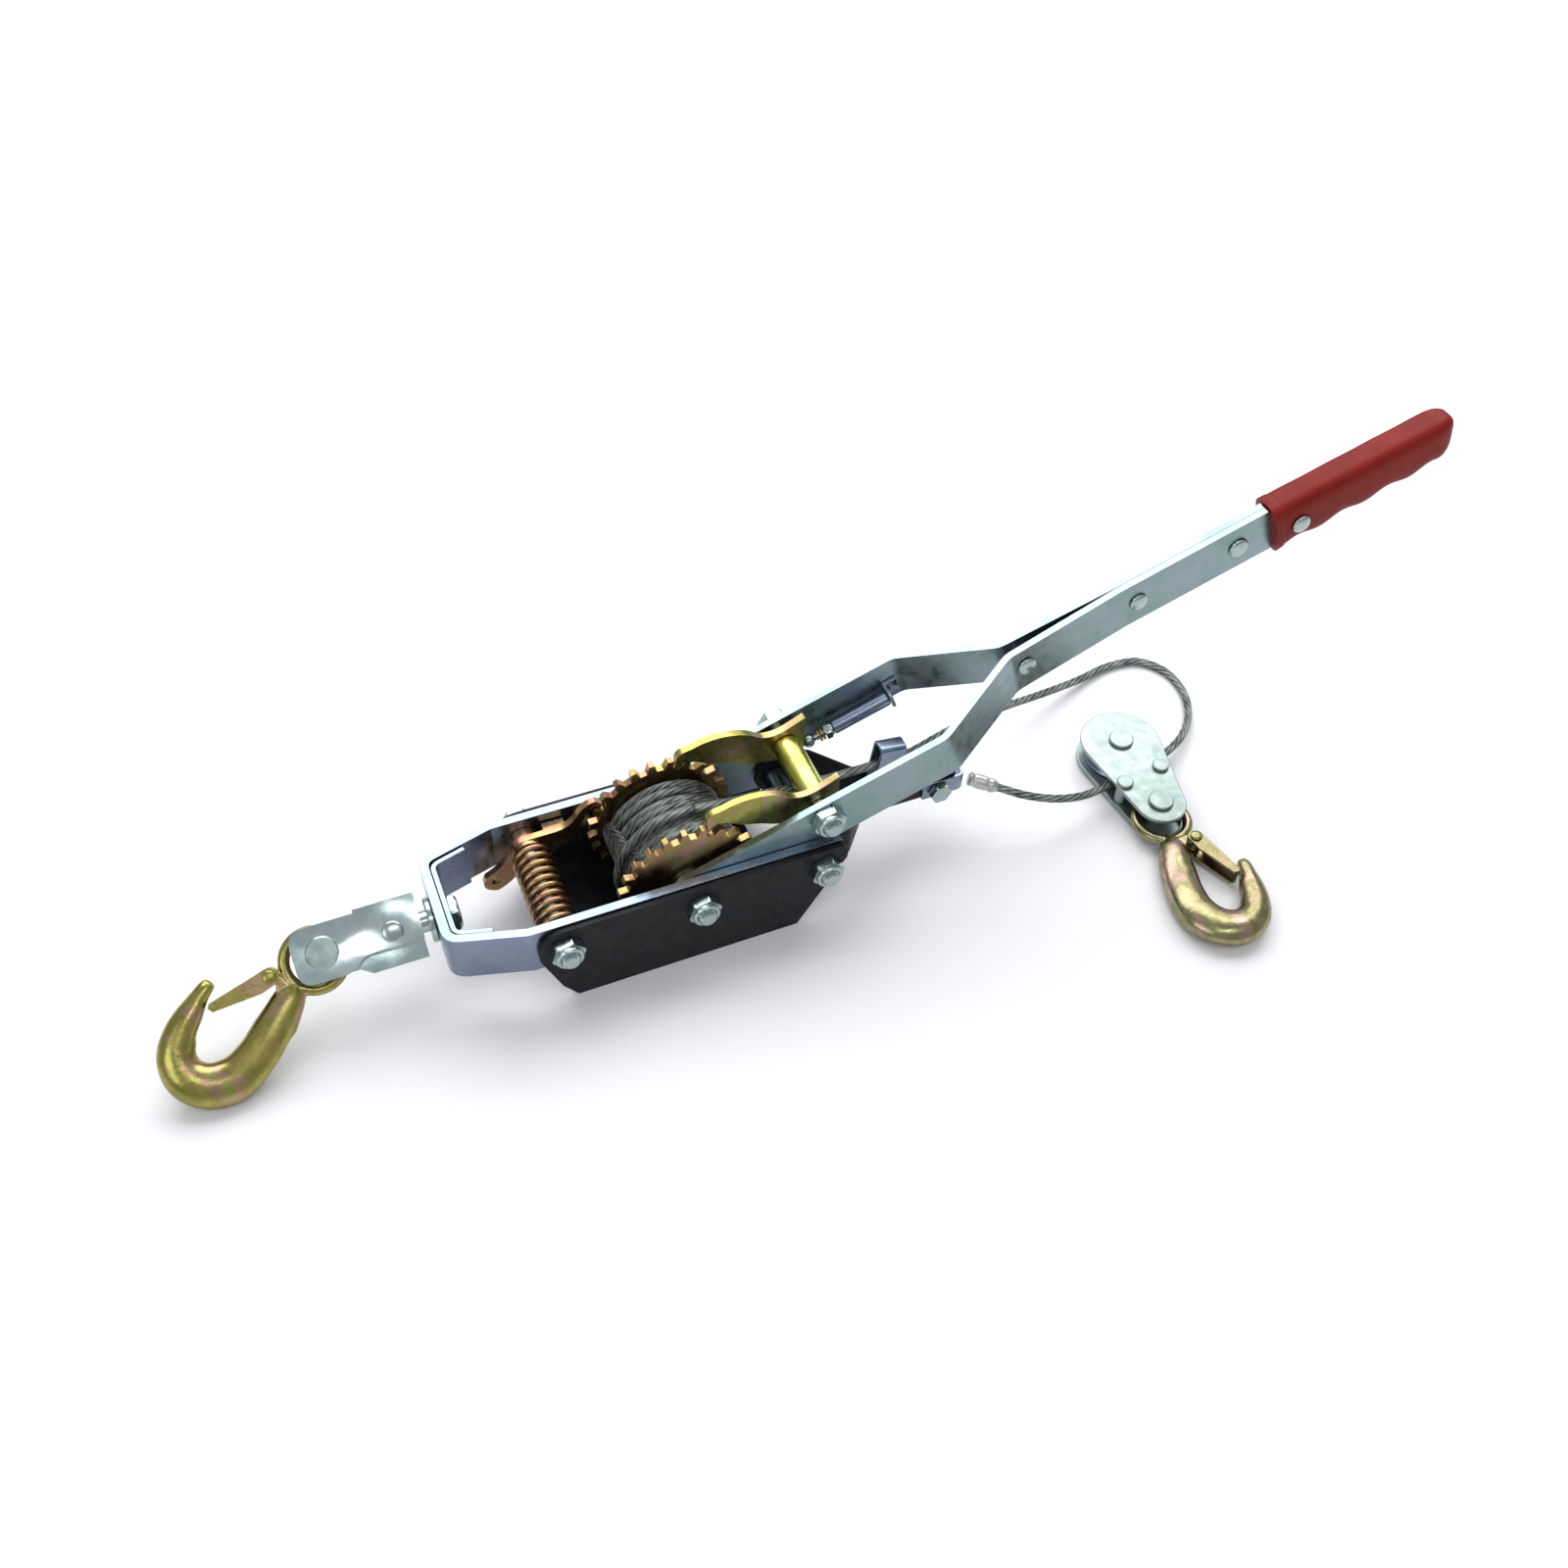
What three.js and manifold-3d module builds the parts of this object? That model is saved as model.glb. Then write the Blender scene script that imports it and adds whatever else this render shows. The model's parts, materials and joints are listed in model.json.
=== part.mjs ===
// Hand-operated cable puller ("come along" winch) lying on the floor, in millimetres, +Z up.
// The frame runs along X: front hook towards -X, handle grip towards +X, near side towards -Y.
// Everything is drawn about the drum axle and moved onto the floor at the end.
import * as THREE from "three";
import { mergeVertices } from "three/addons/utils/BufferGeometryUtils.js";
import Module from "manifold-3d";

const wasm = await Module();
wasm.setup();

const GAP = 0.3;
const FLOOR = -44.5;

// Frame strap, side housing and the three cross bolts
const STRAP_THICK = 5;
const STRAP_FACE = 41.4;
const STRAP_TOP = 15.5;
const NOSE_X = -136.5;
const NOSE_FACE = 30.4;
const SHOULDER_X = -94;
const STRAP_END_X = 84;
const HOUSING_THICK = 3;
const HOUSING_FACE = STRAP_FACE + GAP + HOUSING_THICK;
const BOLT_R = 5;
const BORE_R = 5.4;
const FRONT_BOLT_X = -76.6;
const REAR_BOLT_X = 72.5;

// Drum
const TEETH = 24;
const TOOTH_ROOT_R = 37.2;
const TOOTH_TIP_R = 42.2;
const WHEEL_IN = 24.2;
const WHEEL_OUT = 28.7;
const HUB_R = 12;
const WOUND_R = 34.8;
const ROPE_R = 2.5;

// Pawls: the drive pawl works on the inner half of each wheel's edge, the holding pawl on the outer
const NOSE_R = TOOTH_ROOT_R + 0.7;
const PAWL_IN = 21.7;
const PAWL_OUT = 26.2;

// Handle, drawn level along +X and then raised by HANDLE_RISE
const HANDLE_RISE = THREE.MathUtils.degToRad(19.2);
const ARM_THICK = 4;
const ARM_HALF = 15;
const ARM_Y = 34;
const ARM_BEND_X = 159;
const ARM_CLOSE_X = 212;
const ARM_CLOSE_NEAR_Y = 6;
const ARM_CLOSE_FAR_Y = 4;
const ARM_JOIN_X = 285;
const ARM_JOIN_Y = ARM_THICK / 2 + GAP / 2;
const GRIP_START = 379;
const GRIP_END = 495;
const TANG_HALF = 10.5;
const TANG_END = 478;
const PIVOT_X = 76;
const PIVOT_Z = 31.4;

// Spring rod of the drive pawl, beside the far handle arm
const SPRING_Y = 25.5;
const SPRING_START = 111;
const SPRING_END = 147;
const SPRING_OFFSET = -6;
const BRACKET_RIVET = [152.5, -5];

// Tail yoke behind the drum
const TAIL_THICK = 2.8;
const TAIL_HALF = 12;
const TAIL_WIDE_Y = 30.3;
const TAIL_NARROW_Y = 7.4;
const TAIL_BOLT = [160, -6];
const TAIL_END_X = 172;

// Swivel, link and hooks
const STUD_R = 6;
const LINK_ROLL = THREE.MathUtils.degToRad(40);
const LINK_GAP = 6;
const LINK_THICK = 3;
const CROSS_PIN_X = -159;
const FRONT_RIVET_X = -196;
const FRONT_HOOK_SWING = THREE.MathUtils.degToRad(30.1);
const RIVET_R = 6;
const EYE_R = 15.5;
const EYE_TUBE = 3.2;
const EYE_SHIFT = 5.9;
const HOOK_DROP = 2.5;

// Pulley block, lying flat on the floor
const SHEAVE_AT = [294, -2.2];
const BLOCK_PIN_AT = [290, -55];
const BLOCK_Z = FLOOR + 11;
const BLOCK_GAP = 6;
const BLOCK_PLATE = 2.5;
const BLOCK_HEAD = 2.5;
const BLOCK_BIG_R = 25;
const BLOCK_SMALL_R = 15.5;
const SPACERS_AT = [[277.6, -34.2], [305.2, -30.2]];

const materials = {
  zinc: [0xb9c6cc, 0.32, 0.85],
  black: [0x1c1c1f, 0.5, 0.2],
  gold: [0x9c8f45, 0.38, 0.8],
  yellow: [0xc9cf55, 0.4, 0.6],
  copper: [0x9a6a4a, 0.35, 0.85],
  rope: [0x7d857c, 0.5, 0.7],
  red: [0x9b2b24, 0.42, 0.0],
  ferrule: [0xa9a6a0, 0.45, 0.8],
};

const group = new THREE.Group();
group.name = "come_along_winch";

function addPart(name, slot, solid) {
  const [color, roughness, metalness] = materials[slot];
  const material = new THREE.MeshStandardMaterial({ color, roughness, metalness });
  const mesh = new THREE.Mesh(toGeometry(solid), material);
  mesh.name = name;
  group.add(mesh);
}

// ---------- Conversions between three.js geometry and solids ----------

function toSolid(geometry) {
  const bare = geometry.clone();
  bare.deleteAttribute("normal");
  bare.deleteAttribute("uv");
  const merged = mergeVertices(bare, 1e-4);
  return new wasm.Manifold(new wasm.Mesh({
    numProp: 3,
    vertProperties: new Float32Array(merged.attributes.position.array),
    triVerts: new Uint32Array(merged.index.array),
  }));
}

function toGeometry(solid) {
  const mesh = solid.getMesh();
  const geometry = new THREE.BufferGeometry();
  geometry.setAttribute("position", new THREE.BufferAttribute(mesh.vertProperties, 3));
  geometry.setIndex(new THREE.BufferAttribute(mesh.triVerts, 1));
  geometry.computeVertexNormals();
  return geometry;
}

function join(solids) {
  return solids.reduce((whole, next) => whole.add(next));
}

function cut(solid, tools) {
  return tools.reduce((whole, tool) => whole.subtract(tool), solid);
}

// ---------- Basic shapes ----------

// A flat outline in the X-Y plane, given thickness from z0 to z1.
function slabXY(shape, z0, z1) {
  const settings = { depth: z1 - z0, bevelEnabled: false, curveSegments: 7 };
  return new THREE.ExtrudeGeometry(shape, settings).translate(0, 0, z0);
}

// A flat outline in the X-Z plane, given thickness from y0 to y1.
function slabXZ(shape, y0, y1) {
  return slabXY(shape, -y1, -y0).rotateX(Math.PI / 2);
}

function outline(points) {
  return new THREE.Shape(points.map(([x, y]) => new THREE.Vector2(x, y)));
}

function box(x0, x1, y0, y1, z0, z1) {
  const geometry = new THREE.BoxGeometry(x1 - x0, y1 - y0, z1 - z0);
  return geometry.translate((x0 + x1) / 2, (y0 + y1) / 2, (z0 + z1) / 2);
}

function rodY(radius, y0, y1, x = 0, z = 0, sides = 18) {
  const geometry = new THREE.CylinderGeometry(radius, radius, y1 - y0, sides);
  return geometry.translate(x, (y0 + y1) / 2, z);
}

function rodX(radius, x0, x1, sides = 18) {
  const geometry = new THREE.CylinderGeometry(radius, radius, x1 - x0, sides);
  return geometry.rotateZ(Math.PI / 2).translate((x0 + x1) / 2, 0, 0);
}

function rodZ(radius, z0, z1, x = 0, y = 0, sides = 18) {
  const geometry = new THREE.CylinderGeometry(radius, radius, z1 - z0, sides);
  return geometry.rotateX(Math.PI / 2).translate(x, y, (z0 + z1) / 2);
}

function latheY(profile, sides = 20) {
  return new THREE.LatheGeometry(profile.map(([r, y]) => new THREE.Vector2(r, y)), sides);
}

// A path whose corners are rounded to a bend radius.
function rounded(points, radius) {
  const path = [];
  points.forEach(([x, y], i) => {
    if (i === 0 || i === points.length - 1) {
      path.push(new THREE.Vector2(x, y));
      return;
    }
    const corner = new THREE.Vector2(x, y);
    const before = new THREE.Vector2(...points[i - 1]).sub(corner).normalize();
    const after = new THREE.Vector2(...points[i + 1]).sub(corner).normalize();
    const half = Math.acos(THREE.MathUtils.clamp(before.dot(after), -1, 1)) / 2;
    const reach = radius / Math.tan(half);
    const from = corner.clone().addScaledVector(before, reach);
    const to = corner.clone().addScaledVector(after, reach);
    const curve = new THREE.QuadraticBezierCurve(from, corner, to);
    path.push(...curve.getPoints(4));
  });
  return path;
}

// The outline of a flat bar bent along a path.
function strip(points, thickness, radius) {
  const path = rounded(points, radius);
  const sides = [[], []];
  path.forEach((point, i) => {
    const last = path[Math.max(i - 1, 0)];
    const next = path[Math.min(i + 1, path.length - 1)];
    const along = next.clone().sub(last).normalize();
    const normal = new THREE.Vector2(-along.y, along.x).multiplyScalar(thickness / 2);
    sides[0].push(point.clone().add(normal));
    sides[1].unshift(point.clone().sub(normal));
  });
  return new THREE.Shape([...sides[0], ...sides[1]]);
}

// A closed skin through equal rings of points, capped at both ends.
function loft(rings) {
  const count = rings[0].length;
  const positions = rings.flat().flatMap((p) => [p.x, p.y, p.z]);
  const indices = [];
  for (let i = 0; i < rings.length - 1; i++) {
    for (let j = 0; j < count; j++) {
      const a = i * count + j;
      const b = i * count + ((j + 1) % count);
      indices.push(a, b, a + count, b, b + count, a + count);
    }
  }
  [0, rings.length - 1].forEach((i) => {
    const middle = rings[i].reduce((sum, p) => sum.clone().add(p)).divideScalar(count);
    const centre = positions.length / 3;
    positions.push(middle.x, middle.y, middle.z);
    for (let j = 0; j < count; j++) {
      const a = i * count + j;
      const b = i * count + ((j + 1) % count);
      indices.push(...(i === 0 ? [centre, b, a] : [centre, a, b]));
    }
  });
  const geometry = new THREE.BufferGeometry();
  geometry.setAttribute("position", new THREE.Float32BufferAttribute(positions, 3));
  geometry.setIndex(indices);
  return outward(geometry);
}

// Turn the skin the right way out if its volume comes out negative.
function outward(geometry) {
  const p = geometry.attributes.position;
  const index = geometry.index.array;
  const corners = [new THREE.Vector3(), new THREE.Vector3(), new THREE.Vector3()];
  let volume = 0;
  for (let i = 0; i < index.length; i += 3) {
    corners.forEach((corner, k) => corner.fromBufferAttribute(p, index[i + k]));
    volume += corners[0].dot(corners[1].cross(corners[2]));
  }
  if (volume < 0) {
    for (let i = 0; i < index.length; i += 3) {
      [index[i + 1], index[i + 2]] = [index[i + 2], index[i + 1]];
    }
  }
  return geometry;
}

function tube(points, radius, steps, sides) {
  const curve = new THREE.CatmullRomCurve3(points, false, "centripetal");
  const section = new THREE.Shape();
  for (let i = 0; i < sides; i++) {
    const turn = (i / sides) * Math.PI * 2;
    const corner = [radius * Math.cos(turn), radius * Math.sin(turn)];
    if (i === 0) section.moveTo(...corner);
    else section.lineTo(...corner);
  }
  return new THREE.ExtrudeGeometry(section, { steps, extrudePath: curve, bevelEnabled: false });
}

// ---------- Fasteners across the frame, head on the far side ----------

function hexagon(radius, height) {
  const prism = toSolid(new THREE.CylinderGeometry(radius, radius, height, 6));
  const chamfer = latheY([
    [0, -height / 2],
    [radius + 0.1, -height / 2],
    [radius + 0.1, height / 2 - 1],
    [radius * 0.86, height / 2],
    [0, height / 2],
  ]);
  return prism.intersect(toSolid(chamfer));
}

function bolt(radius, corner, headHeight, yEnd, yHead) {
  const length = yHead - yEnd;
  const shaft = latheY([
    [0, yEnd],
    [radius - 0.8, yEnd],
    [radius, yEnd + 0.8],
    [radius, yEnd + length + 1],
    [0, yEnd + length + 1],
  ]);
  const head = hexagon(corner, headHeight).translate([0, yHead + headHeight / 2, 0]);
  return toSolid(shaft).add(head);
}

function nut(bore, corner, height, yFace) {
  const body = hexagon(corner, height).rotate([180, 0, 0]).translate([0, yFace - height / 2, 0]);
  return body.subtract(toSolid(rodY(bore, yFace - height - 1, yFace + 1)));
}

// A rivet along Y with a low domed head at each end.
function rivet(radius, headRadius, headHeight, face) {
  const dome = [];
  for (let i = 0; i <= 2; i++) {
    const turn = (i / 2) * (Math.PI / 2);
    dome.push([headRadius * Math.cos(turn), face + 0.6 + (headHeight - 0.6) * Math.sin(turn)]);
  }
  dome[2][0] = 0;
  const upper = [[radius, face], [headRadius, face], ...dome];
  const lower = upper.map(([r, y]) => [r, -y]).reverse();
  return toSolid(latheY([...lower, ...upper], 14));
}

// ---------- Frame ----------

function frameStrap() {
  const half = STRAP_THICK / 2;
  const path = [
    [STRAP_END_X, STRAP_FACE - half],
    [SHOULDER_X, STRAP_FACE - half],
    [NOSE_X + half, NOSE_FACE - half],
    [NOSE_X + half, -NOSE_FACE + half],
    [SHOULDER_X, -STRAP_FACE + half],
    [STRAP_END_X, -STRAP_FACE + half],
  ];
  const bar = toSolid(slabXY(strip(path, STRAP_THICK, 8), -STRAP_TOP, STRAP_TOP));
  const bores = [FRONT_BOLT_X, 0, REAR_BOLT_X].map((x) => toSolid(rodY(BORE_R, -60, 60, x)));
  return cut(bar, [...bores, toSolid(rodX(STUD_R + 0.4, NOSE_X - 5, NOSE_X + 10))]);
}

function nosePlate() {
  const inset = STRAP_THICK + GAP + 1.6;
  const legX = NOSE_X + 26;
  const slope = (STRAP_FACE - NOSE_FACE) / (SHOULDER_X - NOSE_X);
  const legY = NOSE_FACE - inset - 0.6 + slope * (legX - NOSE_X);
  const cornerX = NOSE_X + inset;
  const path = [
    [legX, legY],
    [cornerX, NOSE_FACE - inset + 0.7],
    [cornerX, -NOSE_FACE + inset - 0.7],
    [legX, -legY],
  ];
  const plate = toSolid(slabXY(strip(path, 3, 5), -STRAP_TOP + 1, STRAP_TOP - 1));
  return plate.subtract(toSolid(rodX(STUD_R + 0.4, NOSE_X, NOSE_X + 14)));
}

function sideHousing() {
  const side = new THREE.Shape();
  side.moveTo(FRONT_BOLT_X, 14);
  side.lineTo(80, 14);
  side.quadraticCurveTo(88, 13, 86, 3);
  side.lineTo(57, FLOOR);
  side.lineTo(-73, FLOOR);
  side.lineTo(-81, -33);
  side.lineTo(FRONT_BOLT_X - 14.5, -6);
  side.quadraticCurveTo(FRONT_BOLT_X - 16, 14, FRONT_BOLT_X, 14);
  const plates = [-1, 1].map((sign) => {
    const plate = slabXZ(side, -HOUSING_THICK / 2, HOUSING_THICK / 2);
    return toSolid(plate.translate(0, sign * (HOUSING_FACE - HOUSING_THICK / 2), 0));
  });
  const floorPlate = toSolid(box(-74, 56, -HOUSING_FACE + 1, HOUSING_FACE - 1, FLOOR, FLOOR + 1.6));
  const frontLip = toSolid(box(-74, -46, -HOUSING_FACE + 1, HOUSING_FACE - 1, FLOOR, FLOOR + 4));
  const bores = [FRONT_BOLT_X, 0, REAR_BOLT_X].map((x) => toSolid(rodY(BORE_R, -60, 60, x)));
  return cut(join([...plates, floorPlate, frontLip]), bores);
}

function addFrameBolts() {
  const spots = { front: FRONT_BOLT_X, axle: 0, rear: REAR_BOLT_X };
  Object.entries(spots).forEach(([name, x]) => {
    const shank = bolt(BOLT_R, 9.6, 6.4, -HOUSING_FACE - 11, HOUSING_FACE + GAP);
    addPart(`${name}_bolt`, "zinc", shank.translate([x, 0, 0]));
    addPart(`${name}_nut`, "zinc", nut(BORE_R, 9.8, 8, -HOUSING_FACE - GAP).translate([x, 0, 0]));
  });
}

function rearSpacer() {
  const reach = TAIL_WIDE_Y - TAIL_THICK / 2 - GAP;
  const sleeve = toSolid(rodY(7.5, -reach, reach, REAR_BOLT_X));
  return sleeve.subtract(toSolid(rodY(BORE_R, -60, 60, REAR_BOLT_X)));
}

// One side bar of the black tail yoke; side is +1 for far, -1 for near.
function tailBar(side) {
  const path = [
    [REAR_BOLT_X - TAIL_HALF, side * TAIL_WIDE_Y],
    [93, side * TAIL_WIDE_Y],
    [112, side * TAIL_NARROW_Y],
    [TAIL_END_X, side * TAIL_NARROW_Y],
  ];
  const bar = toSolid(slabXY(strip(path, TAIL_THICK, 4), -TAIL_HALF, TAIL_HALF));
  const face = new THREE.Shape();
  face.absarc(REAR_BOLT_X, 0, TAIL_HALF, Math.PI / 2, Math.PI * 1.5);
  face.absarc(TAIL_END_X - TAIL_HALF, 0, TAIL_HALF, -Math.PI / 2, Math.PI / 2);
  const bores = [
    toSolid(rodY(BORE_R, -60, 60, REAR_BOLT_X)),
    toSolid(rodY(4.4, -60, 60, ...TAIL_BOLT)),
  ];
  return cut(bar.intersect(toSolid(slabXZ(face, -60, 60))), bores);
}

function anchorBracket() {
  const reach = TAIL_NARROW_Y + TAIL_THICK / 2 + GAP + 1;
  const path = [[150, reach], [177, reach], [177, -reach], [150, -reach]];
  const bracket = toSolid(slabXY(strip(path, 2, 4), TAIL_BOLT[1] - 6, TAIL_BOLT[1] + 6));
  return bracket.subtract(toSolid(rodY(4.4, -60, 60, ...TAIL_BOLT)));
}

function tailBolt() {
  const face = TAIL_NARROW_Y + TAIL_THICK / 2 + GAP + 2 + GAP;
  const shank = bolt(4, 6.6, 4.5, -face - 8, face).rotate([180, 0, 0]);
  return shank.translate([TAIL_BOLT[0], 0, TAIL_BOLT[1]]);
}

function tailNut() {
  const face = TAIL_NARROW_Y + TAIL_THICK / 2 + GAP + 2 + GAP;
  const turned = nut(4.4, 6.8, 5.5, -face).rotate([180, 0, 0]);
  return turned.translate([TAIL_BOLT[0], 0, TAIL_BOLT[1]]);
}

// Narrow inverted U over the cable, between the bars of the tail yoke.
function cableGuide() {
  const half = 4.6;
  const top = 33;
  const path = [[-half, -9], [-half, top], [half, top], [half, -9]];
  const arch = slabXY(strip(path, 1.8, 2.6), -8, 8).rotateX(Math.PI / 2).rotateZ(Math.PI / 2);
  return toSolid(arch.rotateY(THREE.MathUtils.degToRad(8)).translate(127, 0, 0));
}

// ---------- Drum ----------

function ratchetWheel(side) {
  const points = [];
  const step = 360 / TEETH;
  for (let i = 0; i < TEETH; i++) {
    [[0, TOOTH_ROOT_R], [1.8, TOOTH_TIP_R], [6, TOOTH_TIP_R], [9, TOOTH_ROOT_R]].forEach(([turn, r]) => {
      const angle = THREE.MathUtils.degToRad(i * step + turn);
      points.push([r * Math.cos(angle), r * Math.sin(angle)]);
    });
  }
  const plate = slabXZ(outline(points), WHEEL_IN, WHEEL_OUT);
  if (side < 0) plate.translate(0, -WHEEL_IN - WHEEL_OUT, 0);
  return toSolid(plate).subtract(toSolid(rodY(HUB_R + GAP, -60, 60, 0, 0, 32)));
}

function drumHub() {
  const reach = ARM_Y - ARM_THICK / 2 - GAP;
  return toSolid(rodY(HUB_R, -reach, reach, 0, 0, 32)).subtract(toSolid(rodY(BORE_R, -60, 60)));
}

// The wound cable as one ribbed spool.
function woundCable() {
  const turns = 9;
  const reach = WHEEL_IN - GAP;
  const pitch = (2 * reach) / turns;
  const profile = [[HUB_R + GAP, -reach]];
  for (let i = 0; i < turns; i++) {
    for (let k = 0; k < 3; k++) {
      const t = (k + 0.5) / 3;
      const bulge = Math.sin(t * Math.PI);
      profile.push([WOUND_R - 2 + 2 * bulge, -reach + (i + t) * pitch]);
    }
  }
  profile.push([HUB_R + GAP, reach]);
  profile.push([HUB_R + GAP, -reach]);
  return toSolid(outward(mergeVertices(bareOf(latheY(profile, 30)), 1e-4)));
}

function bareOf(geometry) {
  geometry.deleteAttribute("normal");
  geometry.deleteAttribute("uv");
  return geometry;
}

// ---------- Pawls and their springs ----------

function polar(radius, degrees) {
  const angle = THREE.MathUtils.degToRad(degrees);
  return [radius * Math.cos(angle), radius * Math.sin(angle)];
}

function drivePawlArm(side) {
  const face = new THREE.Shape();
  face.moveTo(...polar(NOSE_R, 74.5));
  face.lineTo(...polar(TOOTH_TIP_R + 1, 76.3));
  face.quadraticCurveTo(9, 49, 20, 50);
  face.quadraticCurveTo(30, 54, 42, 52);
  face.quadraticCurveTo(52, 50, 58, 45);
  face.quadraticCurveTo(66, 39, 78, 45);
  face.lineTo(87.2, 49.5);
  face.lineTo(87.2, 26);
  face.quadraticCurveTo(84, 21, PIVOT_X, PIVOT_Z - 10);
  face.quadraticCurveTo(56, 22, 42, 30);
  face.lineTo(30, 34.2);
  face.lineTo(22, 39);
  face.lineTo(...polar(TOOTH_TIP_R + 1.2, 70.6));
  face.lineTo(...polar(NOSE_R, 71.6));
  const arm = slabXZ(face, PAWL_IN, PAWL_OUT);
  if (side < 0) arm.translate(0, -PAWL_IN - PAWL_OUT, 0);
  return toSolid(arm).subtract(toSolid(rodY(BORE_R, -60, 60, PIVOT_X, PIVOT_Z)));
}

function drivePawlTube() {
  const sleeve = toSolid(rodY(8, -PAWL_IN + GAP, PAWL_IN - GAP, PIVOT_X, PIVOT_Z, 24));
  return sleeve.subtract(toSolid(rodY(BORE_R, -60, 60, PIVOT_X, PIVOT_Z)));
}

function holdingPawl() {
  const face = new THREE.Shape();
  face.moveTo(...polar(NOSE_R, 149.6));
  face.lineTo(...polar(NOSE_R, 147));
  face.lineTo(...polar(TOOTH_TIP_R + 1.4, 145.6));
  face.quadraticCurveTo(-43, 24, -47.5, 16.5);
  face.quadraticCurveTo(-52, 9.5, -60, 9.2);
  face.lineTo(FRONT_BOLT_X, 9.2);
  face.quadraticCurveTo(-86, 9, -88, 0);
  face.quadraticCurveTo(-93, -9, -102, -13);
  face.quadraticCurveTo(-108, -22, -97, -26);
  face.quadraticCurveTo(-86, -22, -80, -10);
  face.quadraticCurveTo(-64, -12, -54, -1);
  face.lineTo(-46, 9);
  face.lineTo(...polar(TOOTH_TIP_R + 1.2, 150.2));
  const plate = toSolid(slabXZ(face, PAWL_OUT + 0.4, PAWL_OUT + 4.4));
  const hub = toSolid(rodY(9, PAWL_OUT - 2, STRAP_FACE - STRAP_THICK - GAP, FRONT_BOLT_X));
  const thumbPlate = toSolid(box(-66, -53.5, PAWL_OUT + 0.4, STRAP_FACE - STRAP_THICK - 1, 4, 9.2));
  const holes = [
    toSolid(rodY(BORE_R, -60, 60, FRONT_BOLT_X)),
    toSolid(rodY(2.5, -60, 60, -97, -18, 16)),
  ];
  return cut(join([plate, hub, thumbPlate]), holes);
}

function pawlSpring() {
  const turns = 10;
  const steps = turns * 12;
  const points = [];
  for (let i = 0; i <= steps; i++) {
    const turn = (i / 12) * Math.PI * 2;
    const y = -34.2 + (i / steps) * 55.5;
    points.push(new THREE.Vector3(FRONT_BOLT_X + 9.8 * Math.cos(turn), y, 9.8 * Math.sin(turn)));
  }
  return toSolid(tube(points, 1.8, steps, 6));
}

// ---------- Handle ----------

function raise(solid) {
  return solid.rotate([0, -THREE.MathUtils.radToDeg(HANDLE_RISE), 0]);
}

// Position along and across the handle of a point given in the frame's X-Z plane.
function onHandle(x, z) {
  const c = Math.cos(HANDLE_RISE);
  const s = Math.sin(HANDLE_RISE);
  return [x * c + z * s, -x * s + z * c];
}

function handleArm(side) {
  const closeY = side > 0 ? ARM_CLOSE_FAR_Y : -ARM_CLOSE_NEAR_Y;
  const path = [
    [-ARM_HALF, side * ARM_Y],
    [ARM_BEND_X, side * ARM_Y],
    [ARM_CLOSE_X, closeY],
    [ARM_JOIN_X, side * ARM_JOIN_Y],
    [TANG_END, side * ARM_JOIN_Y],
  ];
  const bar = toSolid(slabXY(strip(path, ARM_THICK, 14), -ARM_HALF, ARM_HALF));
  const face = new THREE.Shape();
  face.absarc(0, 0, ARM_HALF, Math.PI / 2, Math.PI * 1.5);
  face.lineTo(GRIP_START - 1, -ARM_HALF);
  face.lineTo(GRIP_START + 1, -TANG_HALF);
  face.lineTo(TANG_END, -TANG_HALF);
  face.lineTo(TANG_END, TANG_HALF);
  face.lineTo(GRIP_START + 1, TANG_HALF);
  face.lineTo(GRIP_START - 1, ARM_HALF);
  const bores = [
    toSolid(rodY(BORE_R, -60, 60)),
    toSolid(rodY(BORE_R, -60, 60, ...onHandle(PIVOT_X, PIVOT_Z))),
    toSolid(rodY(3.3, -60, 60, 221, 2, 16)),
    toSolid(rodY(3.3, -60, 60, 294, 0, 16)),
    toSolid(rodY(3.3, -60, 60, 358, 0, 16)),
    toSolid(rodY(3.3, -60, 60, 394, 0, 16)),
  ];
  if (side > 0) bores.push(toSolid(rodY(3.3, -60, 60, ...BRACKET_RIVET, 16)));
  return raise(cut(bar.intersect(toSolid(slabXZ(face, -60, 60))), bores));
}

function gripHeights(x) {
  const t = (x - GRIP_START) / (GRIP_END - GRIP_START);
  const wave = Math.max(0, Math.sin(Math.PI * (4 * t + 0.02)) ** 2);
  const bottom = -16.5 + 3 * wave + 1.5 * t;
  const top = 17 - 2.5 * t;
  return [bottom, top];
}

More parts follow.
